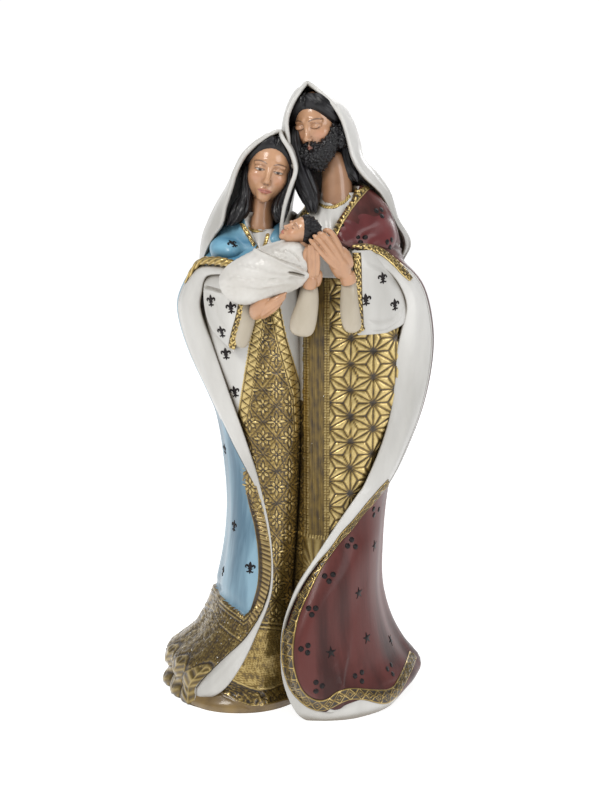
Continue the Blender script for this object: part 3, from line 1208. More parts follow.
def hands():
    """Fingers and palms, each through points of the view at a depth."""
    for name, cell, fingers in (
            ("hand_man_near", 0.34, (
                ([(345, 263, -42.5), (336.8, 242, -45.5), (329.5, 231.5, -47.2), (322.5, 230.5, -46)],
                 (1.9, 1.55, 1.35, 1.0)),
                ([(343, 264, -44), (332.5, 246, -47), (324, 235.8, -49), (317.3, 232.6, -48.5)],
                 (1.9, 1.5, 1.35, 1.0)),
                ([(341, 267, -44), (328.2, 250.5, -47.5), (318.8, 239.6, -49.9), (312.6, 234.8, -49.6)],
                 (1.9, 1.45, 1.3, 0.95)),
                ([(339, 270, -43), (324, 255.6, -47), (314.6, 244.8, -49.9), (309, 238.6, -50)],
                 (1.8, 1.35, 1.2, 0.9)),
                ([(346, 278, -38.5), (340.5, 263, -42), (334, 253, -44.3)], (3.4, 3.8, 2.2)),
                ([(342, 277, -38.5), (336, 265, -42), (330, 257.5, -44.6)], (2.8, 3.2, 1.8)),
                ([(349, 268, -38.5), (344, 256, -41.5), (338.5, 247, -43.8)], (3.0, 3.2, 1.8)),
                ([(349.5, 284, -37.5), (346, 272, -39)], (3.8, 3.8)))),
            ("hand_supporting", 0.30, (
                ([(307.0, 278, -44), (305.2, 265, -46.5), (304.9, 254, -48), (307.2, 247, -48.5)],
                 (1.7, 1.15, 1.05, 0.85)),
                ([(309.6, 277, -45), (309.4, 264, -47.5), (308.9, 252, -49.2), (309.6, 244.5, -49.9)],
                 (1.7, 1.1, 1.0, 0.85)),
                ([(312.8, 277, -45), (313.6, 264, -47.3), (313.0, 252, -49), (312.2, 243, -49.9)],
                 (1.7, 1.1, 1.0, 0.85)),
                ([(316, 277, -44), (317.8, 265, -46.3), (317.4, 254, -48), (315.4, 246, -49)],
                 (1.6, 1.15, 1.05, 0.85)),
                ([(309.5, 289, -41.5), (310, 281, -42.5), (311, 274, -43.5)], (3.2, 3.6, 2.8)),
                ([(315, 286, -40), (317, 277, -41.5), (319, 270, -43)], (2.3, 2.6, 1.6)))),
            ("hand_woman", 0.31, (
                ([(255, 318, -36), (258, 309, -40), (266, 300, -42), (277, 293, -43)],
                 (2.6, 4.0, 4.2, 2.2)),
                ([(258, 304, -42), (264, 297.5, -44), (274, 292.5, -45), (284, 289.5, -45)],
                 (1.6, 1.6, 1.4, 1.0)),
                ([(260, 312, -41), (268, 304.5, -45), (277, 298.5, -46.4), (287, 292.0, -46)],
                 (1.9, 1.7, 1.5, 1.0)),
                ([(260, 315.5, -40), (269, 309, -44.4), (278, 302.5, -45.8), (286, 295.5, -45.4)],
                 (1.9, 1.6, 1.4, 0.95)),
                ([(260, 317, -38), (268, 313, -42.5), (276, 307, -44.6), (282.5, 300.5, -44.4)],
                 (1.7, 1.5, 1.3, 0.9))))):
        forms = Forms()
        for seen, radii in fingers:
            forms.limb([at_depth(*spot) for spot in seen], radii, count=44, sides=20)
        tint_all(forms.fused(name, SKIN, cell, 1), HAND_TONE)


def cloth_sheet(name, rows, bulge, deep, material, count=112, steps=85, creases=()):
    net = smooth_curve(rows, count)
    share = np.linspace(0, 1, steps)[None, :]
    fall = np.sin(math.pi * np.linspace(0.12, 0.92, count)) ** 0.6
    z, left_x, left_y, right_x, right_y = (column[:, None] for column in net.T)
    x = left_x + (right_x - left_x) * share
    y = left_y + (right_y - left_y) * share
    y = y - bulge * np.sin(math.pi * share) ** 0.7 * fall[:, None]
    front = np.stack([x, y, z + 0 * x], axis=-1)
    px, py = pixels(front)
    for fold, high, low, wide in creases:
        gap, along = beside(px, py, fold)
        fade = np.clip(np.minimum(along, 1 - along) / 0.2, 0, 1)
        front[..., 1] -= fade * (high * groove(gap - 1.3 * wide, 1.5 * wide)
                                 - low * groove(gap, 0.8 * wide))
    back = front[:, ::6] + np.array([0, deep, 0])
    rings = shell_rings(front, back)
    make_piece(name, rings, ring_faces(*rings.shape[:2]), material)
    return front


def sleeves():
    woman_front = cloth_sheet(
        "sleeve_woman",
        [(216, -43, -20, -25, -30), (207, -45, -22, -24.4, -34), (200, -45.3, -22, -24.4, -34.5),
         (192, -44, -22.5, -26, -34), (186, -41.5, -23.5, -27.8, -33), (181, -37, -26, -29.2, -32),
         (176.6, -31.5, -30, -30.6, -31)], 2.5, 9, PEARL,
        creases=(([(203, 286), (210, 288), (217, 290), (224, 293)], 0.8, 1.8, 1.6),
                 ([(205, 297), (209, 312), (217, 328), (226, 340)], 0.5, 0.5, 2.6),
                 ([(217, 300), (220, 315), (228, 330)], 0.4, 0.4, 2.4)))
    man_front = cloth_sheet(
        "sleeve_man",
        [(224, 24, -36, 33, -29), (217, 24.2, -36.5, 42, -25), (209, 24.4, -36.5, 48, -21),
         (200, 24.8, -36, 51, -19), (193, 25.2, -35.5, 51, -19), (188, 25.6, -35, 48.5, -21),
         (184.8, 27, -34, 41, -26)], 3.5, 11, PEARL,
        creases=(([(366, 262), (380, 268), (392, 278), (401, 292)], 0.6, 0.5, 3.0),
                 ([(366, 318), (380, 321), (394, 316), (404, 304)], 0.8, 0.6, 3.0),
                 ([(370, 330), (384, 329), (396, 322), (406, 311)], 0.4, 0.6, 1.8)))
    forms = Forms()
    for path, radii, flat in (
            ([(-23.2, -34, 205), (-24, -33.5, 194), (-26.4, -32, 185), (-28, -31, 178.5)],
             (3.2, 3.6, 3.8, 3.2), 0.7),
            ([(22.6, -36.6, 214), (22.6, -37.0, 204), (23.2, -36.6, 195), (25.0, -35.6, 186.2)],
             (3.2, 4.0, 4.6, 4.4), 0.7),
            ([(4.6, -40.5, 211), (3.6, -39.5, 201), (1.8, -38.5, 193), (0.0, -37.5, 184.8)],
             (3.8, 5.0, 6.0, 5.8), 0.6)):
        forms.limb(path, radii, flat=flat, count=54, sides=30)
    forms.piece("under_sleeves", IVORY)
    return woman_front, man_front


def bundle():
    points = np.array([(-35, -36, 205.5), (-30, -39, 208.5), (-20, -41, 212.5), (-9, -42, 217),
                       (0, -41, 220.5), (5, -40, 222.5)], float)
    count, sides = 170, 184
    line = smooth_curve(points, count)
    share = np.linspace(0, 1, count)
    thick = smooth_value(np.linspace(0, 1, 6), (5.0, 9.6, 11.8, 12.1, 10.6, 8.0), share)
    thick = thick * np.sqrt(np.clip(1 - np.linspace(-1, 1, count) ** 8, 0.02, 1))
    tangents = np.gradient(line, axis=0)
    tangents /= np.linalg.norm(tangents, axis=1)[:, None]
    turn = np.linspace(0, 2 * math.pi, sides, endpoint=False)
    rings, out = [], []
    side = np.array([0.0, 1.0, 0.0])
    for k in range(count):
        side = side - tangents[k] * (side @ tangents[k])
        side /= np.linalg.norm(side)
        other = np.cross(tangents[k], side)
        way = np.cos(turn)[:, None] * side * 0.84 + np.sin(turn)[:, None] * other
        rings.append(line[k] + thick[k] * way)
        out.append(way)
    rings, out = np.array(rings), np.array(out)
    px, py = pixels(rings)
    shift = np.zeros(px.shape)
    for fold, high, low, wide in (
            ([(254, 248), (261, 252), (272, 256.5), (285, 262), (297, 266), (305, 270)], 1.5, 1.1, 1.5),
            ([(288, 272.5), (294, 273.4), (299, 274.6), (305, 276)], 0.8, 1.5, 1.0),
            ([(219, 283), (232, 286), (243, 288.5), (254, 291), (262, 291.5), (272, 287)], -0.6, 0.5, 3.0),
            ([(238, 264), (252, 267), (266, 271), (280, 273.5), (290, 274)], 0.5, 0.5, 2.6),
            ([(262, 284), (275, 280), (286, 279), (298, 280)], 0.5, 0.5, 2.2),
            ([(246, 277), (260, 279), (272, 279.5), (284, 277)], 0.4, 0.4, 2.4),
            ([(284, 247), (291, 251), (297, 256), (301, 262)], 0.4, 0.5, 1.6),
            ([(230, 276), (240, 277), (252, 280)], 0.35, 0.3, 2.4),
            ([(272, 246), (281, 250), (289, 255)], 0.3, 0.35, 1.5)):
        gap, along = beside(px, py, fold)
        fade = np.clip(np.minimum(along, 1 - along) / 0.12, 0, 1) ** 0.7
        shift += fade * (high * groove(gap - 1.3 * wide, 1.5 * wide)
                         - low * groove(gap + 0.1 * wide, 0.75 * wide))
    gap, _ = beside(px, py, [(254, 247), (272, 256), (297, 266), (305, 271)])
    shift -= 0.7 * np.clip(-gap / 3, 0, 1) * np.clip((px - 250) / 12, 0, 1)
    shift *= rings[..., 1] < line[:, None, 1]
    ripples = 0.10 * np.sin(px * 0.9 + py * 0.35) * np.sin(py * 0.7 - px * 0.2)
    rings = rings + out * (shift * 1.5 + ripples)[..., None]
    return make_piece("swaddling", rings, ring_faces(*rings.shape[:2]), SWADDLE)


def sight(px, py):
    """Direction from the camera through a point of its 600 by 800 view."""
    across, up = (px - VIEW_CENTRE[0]) / FOCUS, (VIEW_CENTRE[1] - py) / FOCUS
    return np.array([across, math.cos(PITCH) + up * math.sin(PITCH),
                     up * math.cos(PITCH) - math.sin(PITCH)])


def at_depth(px, py, y):
    way = sight(px, py)
    return EYE + way * ((y + EYE_DISTANCE) / way[1])


def onto(tree, seen):
    """Where sight lines meet a surface; a line that misses it goes to the nearest point."""
    spots = []
    for px, py in seen:
        way = Vector(sight(px, py)).normalized()
        hit = tree.ray_cast(Vector(EYE), way)[0]
        if hit is None:
            hit = tree.find_nearest(Vector(EYE) + way * MISSED_DEPTH)[0]
        spots.append(np.array(hit))
    return np.array(spots)


def tree_of(*objects):
    points, faces, start = [], [], 0
    for obj in objects:
        mesh = obj.data
        co = np.zeros(len(mesh.vertices) * 3)
        mesh.vertices.foreach_get("co", co)
        points.append(co.reshape(-1, 3) / MM + PLAN_SHIFT)
        faces.extend([[v + start for v in p.vertices] for p in mesh.polygons
                      if len(p.vertices) < 6])
        start += len(mesh.vertices)
    return BVHTree.FromPolygons(np.concatenate(points).tolist(), faces)


def head_rays(low, high, rows, first, last, turns):
    lift = np.linspace(low, high, rows)[:, None]
    round_ = np.linspace(first, last, turns, endpoint=False)[None, :]
    rays = np.stack([np.cos(lift) * np.sin(round_), -np.cos(lift) * np.cos(round_),
                     np.sin(lift) + 0 * round_], axis=-1)
    return rays, head_reach(rays)


def head_reach(rays):
    reach = np.full(rays.shape[:2], 1.6)
    for _ in range(60):
        reach = reach - 0.75 * face_distance(rays * reach[..., None])
    return reach


def hair_cap(name, head, opening, thick, combs=26, rows=80, turns=156, low=-1.15, cloth=None, curls=0.0,
             top=999.0):
    """Combed hair over the skull; opening(local) is above 0 where hair grows."""
    centre, half, look, crown = head
    rays, reach = head_rays(low, 1.53, rows, 0, 2 * math.pi, turns)
    local = rays * reach[..., None]
    grown = np.clip(opening(local) / 0.16, -0.25, 1)
    fall = local[..., 2] + 1.05 * np.sqrt(local[..., 0] ** 2 + 0.01) + 0.35 * local[..., 1]
    comb = 0.6 * np.sin(combs * fall) + 0.4 * np.sin(combs * 2.3 * fall + 5 * local[..., 0])
    part = groove(local[..., 0], 0.035) * (local[..., 1] < 0.2)
    if curls:
        u, v, w = (local[..., k] * 14 for k in range(3))
        comb = curls / 0.18 * (np.sin(u + np.sin(1.3 * w)) * np.sin(w + np.sin(1.2 * v + u))
                               + 0.6 * np.sin(1.9 * v) * np.sin(1.7 * w + 1))
        part = 0 * part
    rise = np.where(grown > 0, np.sqrt(np.clip(grown, 0, 1)), grown)
    reach = (reach + rise * thick * (1 + 0.18 * comb - 0.5 * part)) * half
    reach = under_cloth(reach, rays, head, cloth, HAIR_GAP)
    grid = rays * reach[..., None] @ facing(look, crown).T + np.array(centre)
    grid[..., 2] = np.minimum(grid[..., 2], top - 0.02 * np.clip(grid[..., 2] - top, 0, 9))
    return make_piece(name, grid, ring_faces(*grid.shape[:2]), HAIR)


def lock_bunch(forms, path, radii, count, sway, seed):
    """Wavy locks lying along a path, each with its own strands."""
    path = np.array(path, float)
    forms.limb(path, radii, count=70, sides=44, strands=10, depth=0.09, twist=7)
    fine = smooth_curve(path, 14)
    share = np.linspace(0, 1, 14)[:, None]
    for k in range(count):
        turn = seed + 2.4 * k
        drift = np.array([math.cos(turn), -1.0 + 0.5 * math.sin(turn), 0.2 * math.sin(2 * turn)])
        wave = np.sin(share * (9 + k % 3) + turn) * np.array([0.9, 0.3, 0]) * sway
        lock = fine + drift * share ** 0.6 * np.mean(radii) * 0.55 + wave * share
        lock = lock[2 if k % 2 else 4:]
        forms.limb(lock, (0.9, 1.7, 1.9, 1.8, 0.5), count=48, sides=16, strands=4, depth=0.16,
                   twist=10 + 2 * (k % 4), phase=k)


def shirts():
    """The torsos that show between the mantles' front edges."""
    made = []
    for name, body, low, high, inset in (("shirt_woman", WOMAN, 204, 233, 2.2),
                                         ("shirt_man", MAN, 210, 250, 0.6)):
        rows = np.arange(low, high, 1.0)
        turns = np.linspace(0, 2 * math.pi, 130, endpoint=False)
        grid = np.array([body_point(body, z, turns, inset) for z in rows])
        grid[..., 1] += 0.35 * np.sin(grid[..., 0] * 1.3 + 0.10 * grid[..., 2])
        made.append(make_piece(name, grid, ring_faces(*grid.shape[:2]), PEARL))
    return made


def man_hem():
    middle, wide = 20.0, 16.0
    front = np.array([p for p in MAN_LIP["far"] if p[2] < 12.5 and p[0] > 0], float)
    front = smooth_curve(front, 60)
    turns = np.radians([100, 118, 140, 165, 190, 215, 240])
    back = np.array([body_point(MAN, 4.0 + 3.0 * math.exp(-((t - 1.75) / 0.3) ** 2),
                                np.array([t]))[0] for t in turns])
    line = np.concatenate([front, back])
    angle = np.unwrap(np.arctan2(line[:, 0] - middle, wide - line[:, 1]))
    return angle, line, (middle, wide)


def capes(sheet_w, sheet_m):
    """Shoulders and upper arms under one cloth each."""
    made = []
    for name, material, sheet, low, limbs, balls in (
            ("cape_woman", SKY, sheet_w, 219,
             [([(-28, 0, 229), (-34, -6, 225), (-35.5, -15, 222.5), (-29, -24, 221.5)],
               (8, 8, 7.0, 4.6)),
              ([(-6, -1, 231), (-9.5, -8, 229), (-14.5, -13.5, 224)], (5.5, 5.0, 4.0))], []),
            ("cape_man", CAPE_RED, sheet_m, 222,
             [([(30, 0, 236), (36, -6, 231), (36.5, -15, 226.5), (28, -25, 226)],
               (9, 9, 8.0, 5.0))],
             [((27, -9, 232), (11, 10, 11)), ((20, -19, 229), (6, 7, 7))])):
        forms = Forms()
        rows = [row for row in sheet if row[:, 2].mean() > low]
        outer = np.array(rows)
        centre = outer.mean((0, 1))
        inner = outer[:, ::8] * 0.80 + centre * 0.20
        inner[..., 2] = outer[:, ::8, 2]
        forms.add_rings(shell_rings(outer, inner))
        for path, radii in limbs:
            forms.limb(path, radii)
        for centre, radii in balls:
            forms.ball(centre, radii)
        made.append(forms.fused(name, material, 0.9, 40))
    return made


def trims(cape_w, cape_m, mantle_w, mantle_m, sleeve_w, sleeve_m, lip_w, lip_m, shirt_w, shirt_m):
    tree = tree_of(mantle_m, lip_m)
    strip("trim_man", tree,
          [(388, 479), (377, 490.7), (366.2, 503.2), (353.8, 518.9), (341.3, 532.2),
           (328.9, 549.6), (316.5, 562.9), (306.5, 577), (296.3, 597.9), (289.8, 610.8),
           (284.9, 621.6), (282.4, 632.5), (280.9, 645.4), (280.9, 657.2), (282.4, 668.1),
           (285.4, 679), (289.8, 689.8), (296.7, 698.7), (307.6, 707.6), (319.5, 711.1),
           (330.4, 708.6), (342.2, 702.7), (352.1, 699.7), (364, 700.2), (373.9, 702.7),
           (381.8, 704.2), (389.7, 702.7), (397.5, 695.8), (403.6, 686.7), (409, 676.4),
           (413.6, 666.3), (416.6, 657.3)],
          [(388.5, 484), (382, 492.4), (373.7, 503.2), (362.9, 514.8), (352.1, 529.7),
           (340.5, 542.1), (329.7, 557.1), (321.4, 569.5), (306.5, 599.4), (299.7, 615.7),
           (296.3, 629.5), (294.3, 643.4), (293.8, 657.2), (295.3, 669.1), (298.7, 681),
           (304.7, 691.8), (312.6, 697.8), (321.5, 699.7), (328.4, 697.8), (336.3, 691.8),
           (346.2, 688.4), (356.1, 687.9), (368.9, 688.9), (381.8, 689.4), (387.7, 688.9),
           (393.4, 685.6), (398.6, 676.8), (403.6, 666.8), (407.2, 657), (409, 651)],
          lozenges, TRIM, lift=0.6, depth=0.5, far=900)
    tree = tree_of(mantle_m, cape_m)
    strip("shoulder_trim_man", tree_of(cape_m, lip_m, mantle_m),
          [(352, 246), (364, 244), (374, 245.5), (384, 250), (398, 261), (407, 271), (412, 278)],
          [(352, 251.5), (364, 251), (374, 252.5), (383, 257), (394, 266.5), (402, 275), (409, 281)],
          engraved, BRIGHT, lift=0.7, depth=0.5)
    strip("collar_man", tree, [(367, 177), (357.5, 187), (347, 198), (337, 213), (329, 229), (325, 240)],
          [(375, 184), (365.5, 193), (355.5, 205), (346, 219), (338, 234), (334.5, 242)],
          engraved, BRIGHT, depth=0.6)
    strip("collar_man_left", tree_of(shirt_m), [(310, 198), (304.5, 207), (299.5, 216), (296.5, 224)],
          [(317.5, 200), (312, 209), (306.5, 218.5), (303, 227)], engraved, BRIGHT, depth=0.5)
    strip("neckline_man", tree_of(shirt_m), [(316, 200.5), (325, 205), (334, 205), (343, 200), (349, 194)],
          [(315, 203.5), (325, 208.3), (335, 208.3), (345, 203), (351, 197)], braid, BRIGHT, lift=0.3)
    tree = tree_of(mantle_w, cape_w, lip_w)
    forms = Forms()
    forms.limb([(-27, -34.0, 216.5), (-33, -33.2, 218.2), (-40, -27, 218.6), (-47.5, -19.5, 216.6),
                (-54.8, -13.0, 206.5)], (1.7, 1.9, 1.9, 1.6, 0.9), count=110, sides=30, strands=3,
               depth=0.16, twist=60)
    forms.piece("trim_woman", BRIGHT, floats={"relief": 0.45 + 0.5 * np.sin(
        np.arange(forms.count) * 2.399) ** 2})
    strip("lace_woman", tree,
          [(245, 486), (248.8, 505), (254.3, 527), (257.9, 554), (257.7, 581), (252.3, 604), (246.2, 619)],
          [(256.6, 486), (261.5, 505), (267, 527), (271, 554), (270.4, 581), (263.3, 607), (250, 627)],
          lace, LACE, lift=0.3)
    tree = tree_of(mantle_w, cape_w, shirt_w)
    strip("collar_woman", tree, [(239, 222.5), (243, 230), (248, 238.5), (252.5, 246), (256, 251)],
          [(244.5, 224), (249, 231), (253.5, 239.5), (257, 246), (259, 250)], engraved, BRIGHT, depth=0.5)
    strip("collar_woman_right", tree, [(269, 221), (267, 230), (264.5, 240), (261.5, 249)],
          [(271.5, 223), (270.5, 231), (268, 241), (265, 250)], braid, BRIGHT, lift=0.4)
    strip("neckline_woman", tree, [(247.5, 226.5), (254, 229.2), (261, 229.2), (268, 226.5)],
          [(248.5, 229.5), (254, 232.3), (261, 232.3), (267.5, 229.5)], braid, BRIGHT, lift=0.3)
    for name, sheet in (("cuff_man", sleeve_m), ("cuff_woman", sleeve_w)):
        side = sheet[:, 0] if name == "cuff_man" else sheet[:, -1]
        core_x = sheet.mean((0, 1)) + np.array([0, 12, 0])
        make_band(name, surface_of(sheet), side[2:-2:4], 4.4, 1 if name == "cuff_man" else -1,
                  lambda p, c=core_x: np.array([c[0], c[1], p[2]]), engraved, BRIGHT, depth=0.6)


def petal(length, width, bend=0.0, base=0.0):
    share = np.linspace(0, 1, 9)
    half = width / 2 * np.sin(math.pi * share) ** 0.8
    mid_u, mid_v = bend * share ** 2, base + length * share
    return np.concatenate([np.stack([mid_u - half, mid_v], 1),
                           np.stack([mid_u + half, mid_v], 1)[::-1][1:-1]])


def turned(shape, angle):
    c, s = math.cos(angle), math.sin(angle)
    return shape @ np.array([[c, s], [-s, c]])


def fleur():
    shapes = [petal(3.5, 1.55, 0, 0.1), turned(petal(2.3, 1.0, 0, 0.1), math.pi)]
    wing = stroke([(0.25, 0.0), (0.75, 1.0), (1.6, 1.75), (2.35, 1.5), (2.45, 0.8), (1.95, 0.55)],
                  (0.45, 0.75, 0.95, 0.80, 0.60, 0.35), 12)
    foot = stroke([(0.2, -0.3), (0.6, -1.1), (1.35, -1.5), (1.75, -1.15)], (0.4, 0.6, 0.6, 0.3), 7)
    for part in wing + foot:
        shapes += [part, part * [-1, 1]]
    shapes.append(np.array([(-1.2, -0.28), (1.2, -0.28), (1.2, 0.28), (-1.2, 0.28)]))
    return shapes


def disc(u, v, radius):
    turn = np.linspace(0, 2 * math.pi, 16, endpoint=False)
    return np.stack([u + radius * np.cos(turn), v + radius * np.sin(turn)], 1)


def cluster():
    return [disc(2.1 * math.sin(t), 2.1 * math.cos(t), 1.3) for t in (1.05, 3.14, 5.24)]


def star():
    turn = np.arange(10) * math.pi / 5
    reach = np.where(np.arange(10) % 2 == 0, 3.0, 1.05)
    return [np.stack([reach * np.sin(turn), reach * np.cos(turn)], 1)]


def motifs(name, tree, core, placed, material=None, lift=0.16):
    points, faces, count = [], [], 0
    for shapes, px, py, scale, angle in placed:
        spot = onto(tree, [(px, py)])[0]
        spot, normal = settle(tree, spot, core(spot))
        up = np.array([0, 0, 1.0]) - normal * normal[2]
        up /= np.linalg.norm(up)
        across = np.cross(up, normal) * -1
        if across[0] < 0:
            across = -across
        for shape in shapes:
            outline = turned(shape * scale, angle)
            rim = np.concatenate([outline, [outline.mean(0)]])
            flat = spot + rim[:, :1] * across + rim[:, 1:] * up
            laid = [settle(tree, p, core(p)) for p in flat]
            top = np.array([p + n * lift for p, n in laid])
            top[-1] += laid[-1][1] * lift * 0.8
            low = np.array([p - n * 0.3 for p, n in laid])
            n = len(outline)
            points += [top, low]
            for i in range(n):
                j = (i + 1) % n
                faces += [[count + i, count + j, count + n],
                          [count + n + 1 + j, count + n + 1 + i, count + 2 * n + 1],
                          [count + j, count + i, count + n + 1 + i, count + n + 1 + j]]
            count += 2 * n + 2
    return make_piece(name, np.concatenate(points), faces, material or INK)


def all_motifs(cape_w, cape_m, mantle_w, mantle_m, sleeve_w, sleeve_m, gown_w):
    man_core, woman_core = body_core(MAN), body_core(WOMAN)
    tree = tree_of(mantle_m, cape_m)
    dots, five, lily, dot = cluster(), star(), fleur(), [disc(0, 0, 1.3)]
    motifs("dots_and_stars", tree, man_core,
           [(dots, px, py, 1.0, a) for px, py, a in
            ((349, 204, .3), (380, 212, .1), (338, 227, .4), (361, 239, 0), (390, 243, .2))]
           + [(dot, px, py, 1.0, 0) for px, py in
              ((373.7, 509), (379, 509.4), (374, 515), (351.7, 539.7), (347.6, 545.9),
               (355.4, 546.7), (324.6, 576), (333, 574.5), (329, 581.2), (308.6, 608.3),
               (315.7, 608.3), (311.8, 614.7), (301, 649), (308, 645.5), (307.6, 652.7),
               (316, 682.4), (322.2, 685.9), (316, 691.3), (355, 676), (361.9, 672.4),
               (361.9, 681.2), (387.4, 669), (391.2, 664.8), (392.8, 674))]
           + [(five, px, py, 1.0, a) for px, py, a in
              ((374.5, 545.5, .2), (358.7, 593, .1), (331, 652.5, 0), (366.9, 638, .1),
               (390.7, 640, .4))])
    tree = tree_of(mantle_w, cape_w)
    motifs("lilies_on_blue", tree, woman_core,
           [(lily, px, py, s, a) for px, py, s, a in
            ((233.5, 244, 1.0, .2), (250, 569, 1.0, 0), (234, 527, .95, 0),
             (223, 572, .9, 0), (225, 450, .9, 0))])
    for name, sheet, spots in (
            ("lilies_on_sleeve_man", sleeve_m, ((383, 279), (366, 301), (395, 306))),
            ("lilies_on_sleeve_woman", sleeve_w, ((211, 302), (231, 309), (222, 333)))):
        middle = sheet.mean((0, 1)) + np.array([0, 14, 0])
        motifs(name, surface_of(sheet), lambda p, c=middle: np.array([c[0], c[1], p[2]]),
               [(lily, px, py, 1.0, .12) for px, py in spots])
    motifs("lilies_on_lining", tree_of(gown_w), woman_core,
           [(lily, 226, 355, 1.0, .1), (lily, 235, 393, 1.0, .2)])


def pixels(points):
    """Where points fall in the camera's 600 by 800 view."""
    away = np.asarray(points, float) - EYE
    ahead = away[..., 1] * math.cos(PITCH) - away[..., 2] * math.sin(PITCH)
    up = away[..., 1] * math.sin(PITCH) + away[..., 2] * math.cos(PITCH)
    return VIEW_CENTRE[0] + FOCUS * away[..., 0] / ahead, VIEW_CENTRE[1] - FOCUS * up / ahead


def beside(px, py, line):
    """Signed distance to an open line in the view, and the share along it."""
    line = smooth_curve(line, 24)
    best, sign, along = np.full(px.shape, 1e9), np.ones(px.shape), np.zeros(px.shape)
    for k, (a, b) in enumerate(zip(line[:-1], line[1:])):
        d = b - a
        t = np.clip(((px - a[0]) * d[0] + (py - a[1]) * d[1]) / (d @ d), 0, 1)
        gx, gy = px - a[0] - t * d[0], py - a[1] - t * d[1]
        gap = np.hypot(gx, gy)
        near = gap < best
        best = np.where(near, gap, best)
        sign = np.where(near, np.sign(d[0] * gy - d[1] * gx), sign)
        along = np.where(near, (k + t) / (len(line) - 1), along)
    return best * sign, along


def strip(name, tree, first, second, relief, material, lift=0.5, depth=0.4, step=BAND_STEP,
          cross=15, far=NEAR_SIDE):
    """A raised band between two lines of the view, lying on a surface."""
    count = 600
    lines = []
    for line in (first, second):
        dense, run = measured(line)
        count = min(count, int(run[-1] * 0.48 / step))
        lines.append((dense, run))
    edges = []
    for dense, run in lines:
        at = np.linspace(0, run[-1], max(count, 12))
        edges.append(np.stack([np.interp(at, run, column) for column in dense.T], 1))
    share = np.linspace(0, 1, cross)[None, :, None]
    view = edges[0][:, None] * (1 - share) + edges[1][:, None] * share
    away = np.full(view.shape[:2], np.nan)
    ways = np.zeros((*view.shape[:2], 3))
    for index in np.ndindex(away.shape):
        way = sight(*view[index])
        ways[index] = way / np.linalg.norm(way)
        hit = tree.ray_cast(Vector(EYE), Vector(ways[index]))
        if hit[0] is not None and hit[3] < far:
            away[index] = hit[3]
    full = np.nonzero((~np.isnan(away)).mean(axis=1) > 0.4)[0]
    kept = slice(full[0], full[-1] + 1)
    away, ways = away[kept], ways[kept]
    for row in away:
        good = ~np.isnan(row)
        if good.any():
            row[~good] = np.interp(np.nonzero(~good)[0], np.nonzero(good)[0], row[good])
    for column in away.T:
        good = ~np.isnan(column)
        column[~good] = np.interp(np.nonzero(~good)[0], np.nonzero(good)[0], column[good])
    for _ in range(3):
        padded = np.pad(away, 2, mode="reflect", reflect_type="odd")
        away = sum(padded[2 + k:len(padded) - 2 + k, 2:-2] for k in (-2, -1, 0, 1, 2)) / 5
        padded = np.pad(away, 1, mode="reflect", reflect_type="odd")
        away = (padded[1:-1, :-2] + 2 * padded[1:-1, 1:-1] + padded[1:-1, 2:]) / 4
    grid = EYE + ways * away[..., None]
    normals = np.cross(np.gradient(grid, axis=0), np.gradient(grid, axis=1))
    normals /= np.maximum(np.linalg.norm(normals, axis=-1), 1e-9)[..., None]
    normals *= -np.sign((normals * ways).sum(-1))[..., None]
    middle = grid[:, cross // 2]
    s = run_along(middle)
    width = np.median(np.linalg.norm(grid[:, -1] - grid[:, 0], axis=1))
    s, t = np.meshgrid(s, np.linspace(0, width, cross), indexing="ij")
    height = relief(s, t, width)
    edge = 1 - np.abs(2 * t / width - 1) ** 8
    outer = grid + normals * (lift * (0.25 + 0.75 * edge) + depth * (height - 0.5) * edge)[..., None]
    inner = grid[:, ::2] + ways[:, ::2] * 1.1
    rings = shell_rings(outer, inner)
    values = np.concatenate([height, np.full(inner.shape[:2], 0.2)], axis=1)
    return make_piece(name, rings, ring_faces(*rings.shape[:2]), material,
                      floats={"relief": values})


def stroke(points, widths, pieces=10):
    """Quads along a smooth pen stroke."""
    line = smooth_curve(points, pieces + 1)
    half = np.interp(np.linspace(0, 1, pieces + 1), np.linspace(0, 1, len(widths)), widths)[:, None] / 2
    side = np.gradient(line, axis=0)
    side = np.stack([side[:, 1], -side[:, 0]], 1) / np.linalg.norm(side, axis=1)[:, None]
    a, b = line - side * half, line + side * half
    return [np.array([a[i], a[i + 1], b[i + 1], b[i]]) for i in range(pieces)]


def backdrop():
    bpy.ops.mesh.primitive_plane_add(size=12, location=(0, 0, 0))
    floor = bpy.context.object
    floor.name = "floor"
    material, _, shader = shader_material("pale_floor")
    shader.inputs["Base Color"].default_value = (0.5, 0.5, 0.5, 1)
    shader.inputs["Roughness"].default_value = 0.9
    shader.inputs["Specular IOR Level"].default_value = 0.0
    shader.inputs["Emission Color"].default_value = (1, 1, 1, 1)
    shader.inputs["Emission Strength"].default_value = 0.80
    floor.data.materials.append(material)


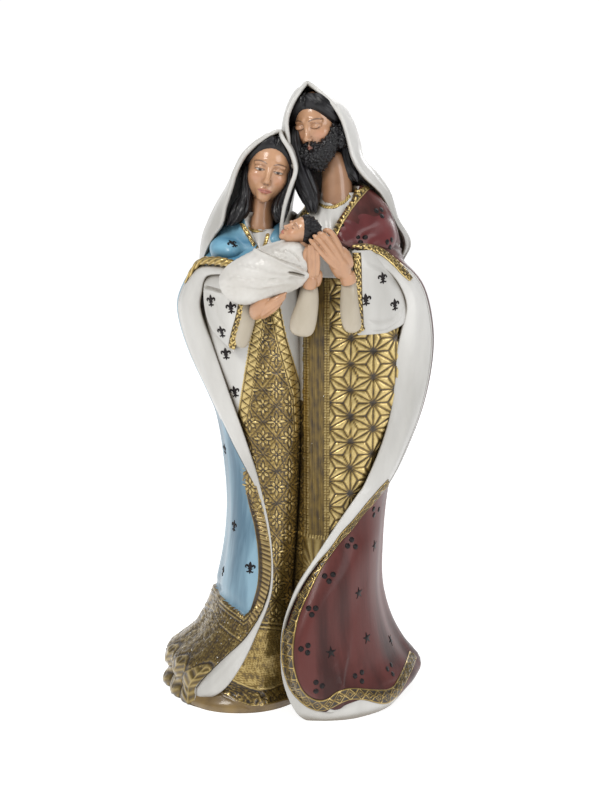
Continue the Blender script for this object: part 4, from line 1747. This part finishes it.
def lights():
    for name, place, size, power, tint in (
            ("key", (-0.60, -1.00, 0.95), 0.45, 7.5, (1.0, 0.98, 0.95)),
            ("fill", (0.85, -0.90, 0.50), 0.6, 3.5, (0.97, 0.98, 1.0)),
            ("top", (0.1, -0.1, 1.2), 0.6, 3, (1, 1, 1)),
            ("back", (0.2, 1.1, 0.7), 0.9, 5, (1, 1, 1))):
        data = bpy.data.lights.new(name, "AREA")
        data.size = size
        data.energy = power
        data.color = tint
        lamp = bpy.data.objects.new(name, data)
        lamp.location = place
        aim = Vector((0, 0, 0.15)) - Vector(place)
        lamp.rotation_euler = aim.to_track_quat("-Z", "Y").to_euler()
        bpy.context.scene.collection.objects.link(lamp)
    world = bpy.data.worlds.new("studio")
    bpy.context.scene.world = world
    world.use_nodes = True
    tree = world.node_tree
    tree.nodes["Background"].inputs["Strength"].default_value = 1.0
    coords = node(tree, "ShaderNodeTexCoord")
    split = node(tree, "ShaderNodeSeparateXYZ")
    tree.links.new(coords.outputs["Generated"], split.inputs[0])
    sky = ramp(tree, split.outputs["Y"], [(0.55, (0.42, 0.42, 0.43)), (0.85, (1.05, 1.05, 1.05))])
    tree.links.new(sky.outputs["Color"], tree.nodes["Background"].inputs["Color"])
    bpy.context.scene.view_settings.view_transform = "Standard"


def camera():
    data = bpy.data.cameras.new("camera")
    data.lens = 75.0
    data.sensor_width = 36
    data.shift_y = -0.0066
    data.clip_start = 0.01
    made = bpy.data.objects.new("camera", data)
    made.location = (EYE - PLAN_SHIFT) * MM
    made.rotation_euler = (math.radians(90 - TILT), 0, 0)
    bpy.context.scene.collection.objects.link(made)
    bpy.context.scene.camera = made


def main():
    gown_w = woman_gown()
    man_gown()
    mantle_w, sheet_w = woman_mantle()
    mantle_m, sheet_m = man_mantle()
    lip_w = rolled_lip("lip_woman", WOMAN_LIP, 340, 0.20)[0]
    lip_m = rolled_lip("lip_man", MAN_LIP, 460, 0.14)[0]
    cape_w, cape_m = capes(sheet_w, sheet_m)
    veil_w = veil("veil_woman", WOMAN_VEIL, tree_of(cape_w, mantle_w), WOMAN)[1]
    veil_m = veil("veil_man", MAN_HOOD, tree_of(cape_m, mantle_m), MAN)[1]
    shirt_w, shirt_m = shirts()
    heads(veil_w, veil_m)
    hair(veil_w, veil_m)
    beard()
    hands()
    sleeve_w, sleeve_m = sleeves()
    bundle()
    trims(cape_w, cape_m, mantle_w, mantle_m, sleeve_w, sleeve_m, lip_w, lip_m, shirt_w, shirt_m)
    all_motifs(cape_w, cape_m, mantle_w, mantle_m, sleeve_w, sleeve_m, gown_w)
    backdrop()
    lights()
    camera()


main()
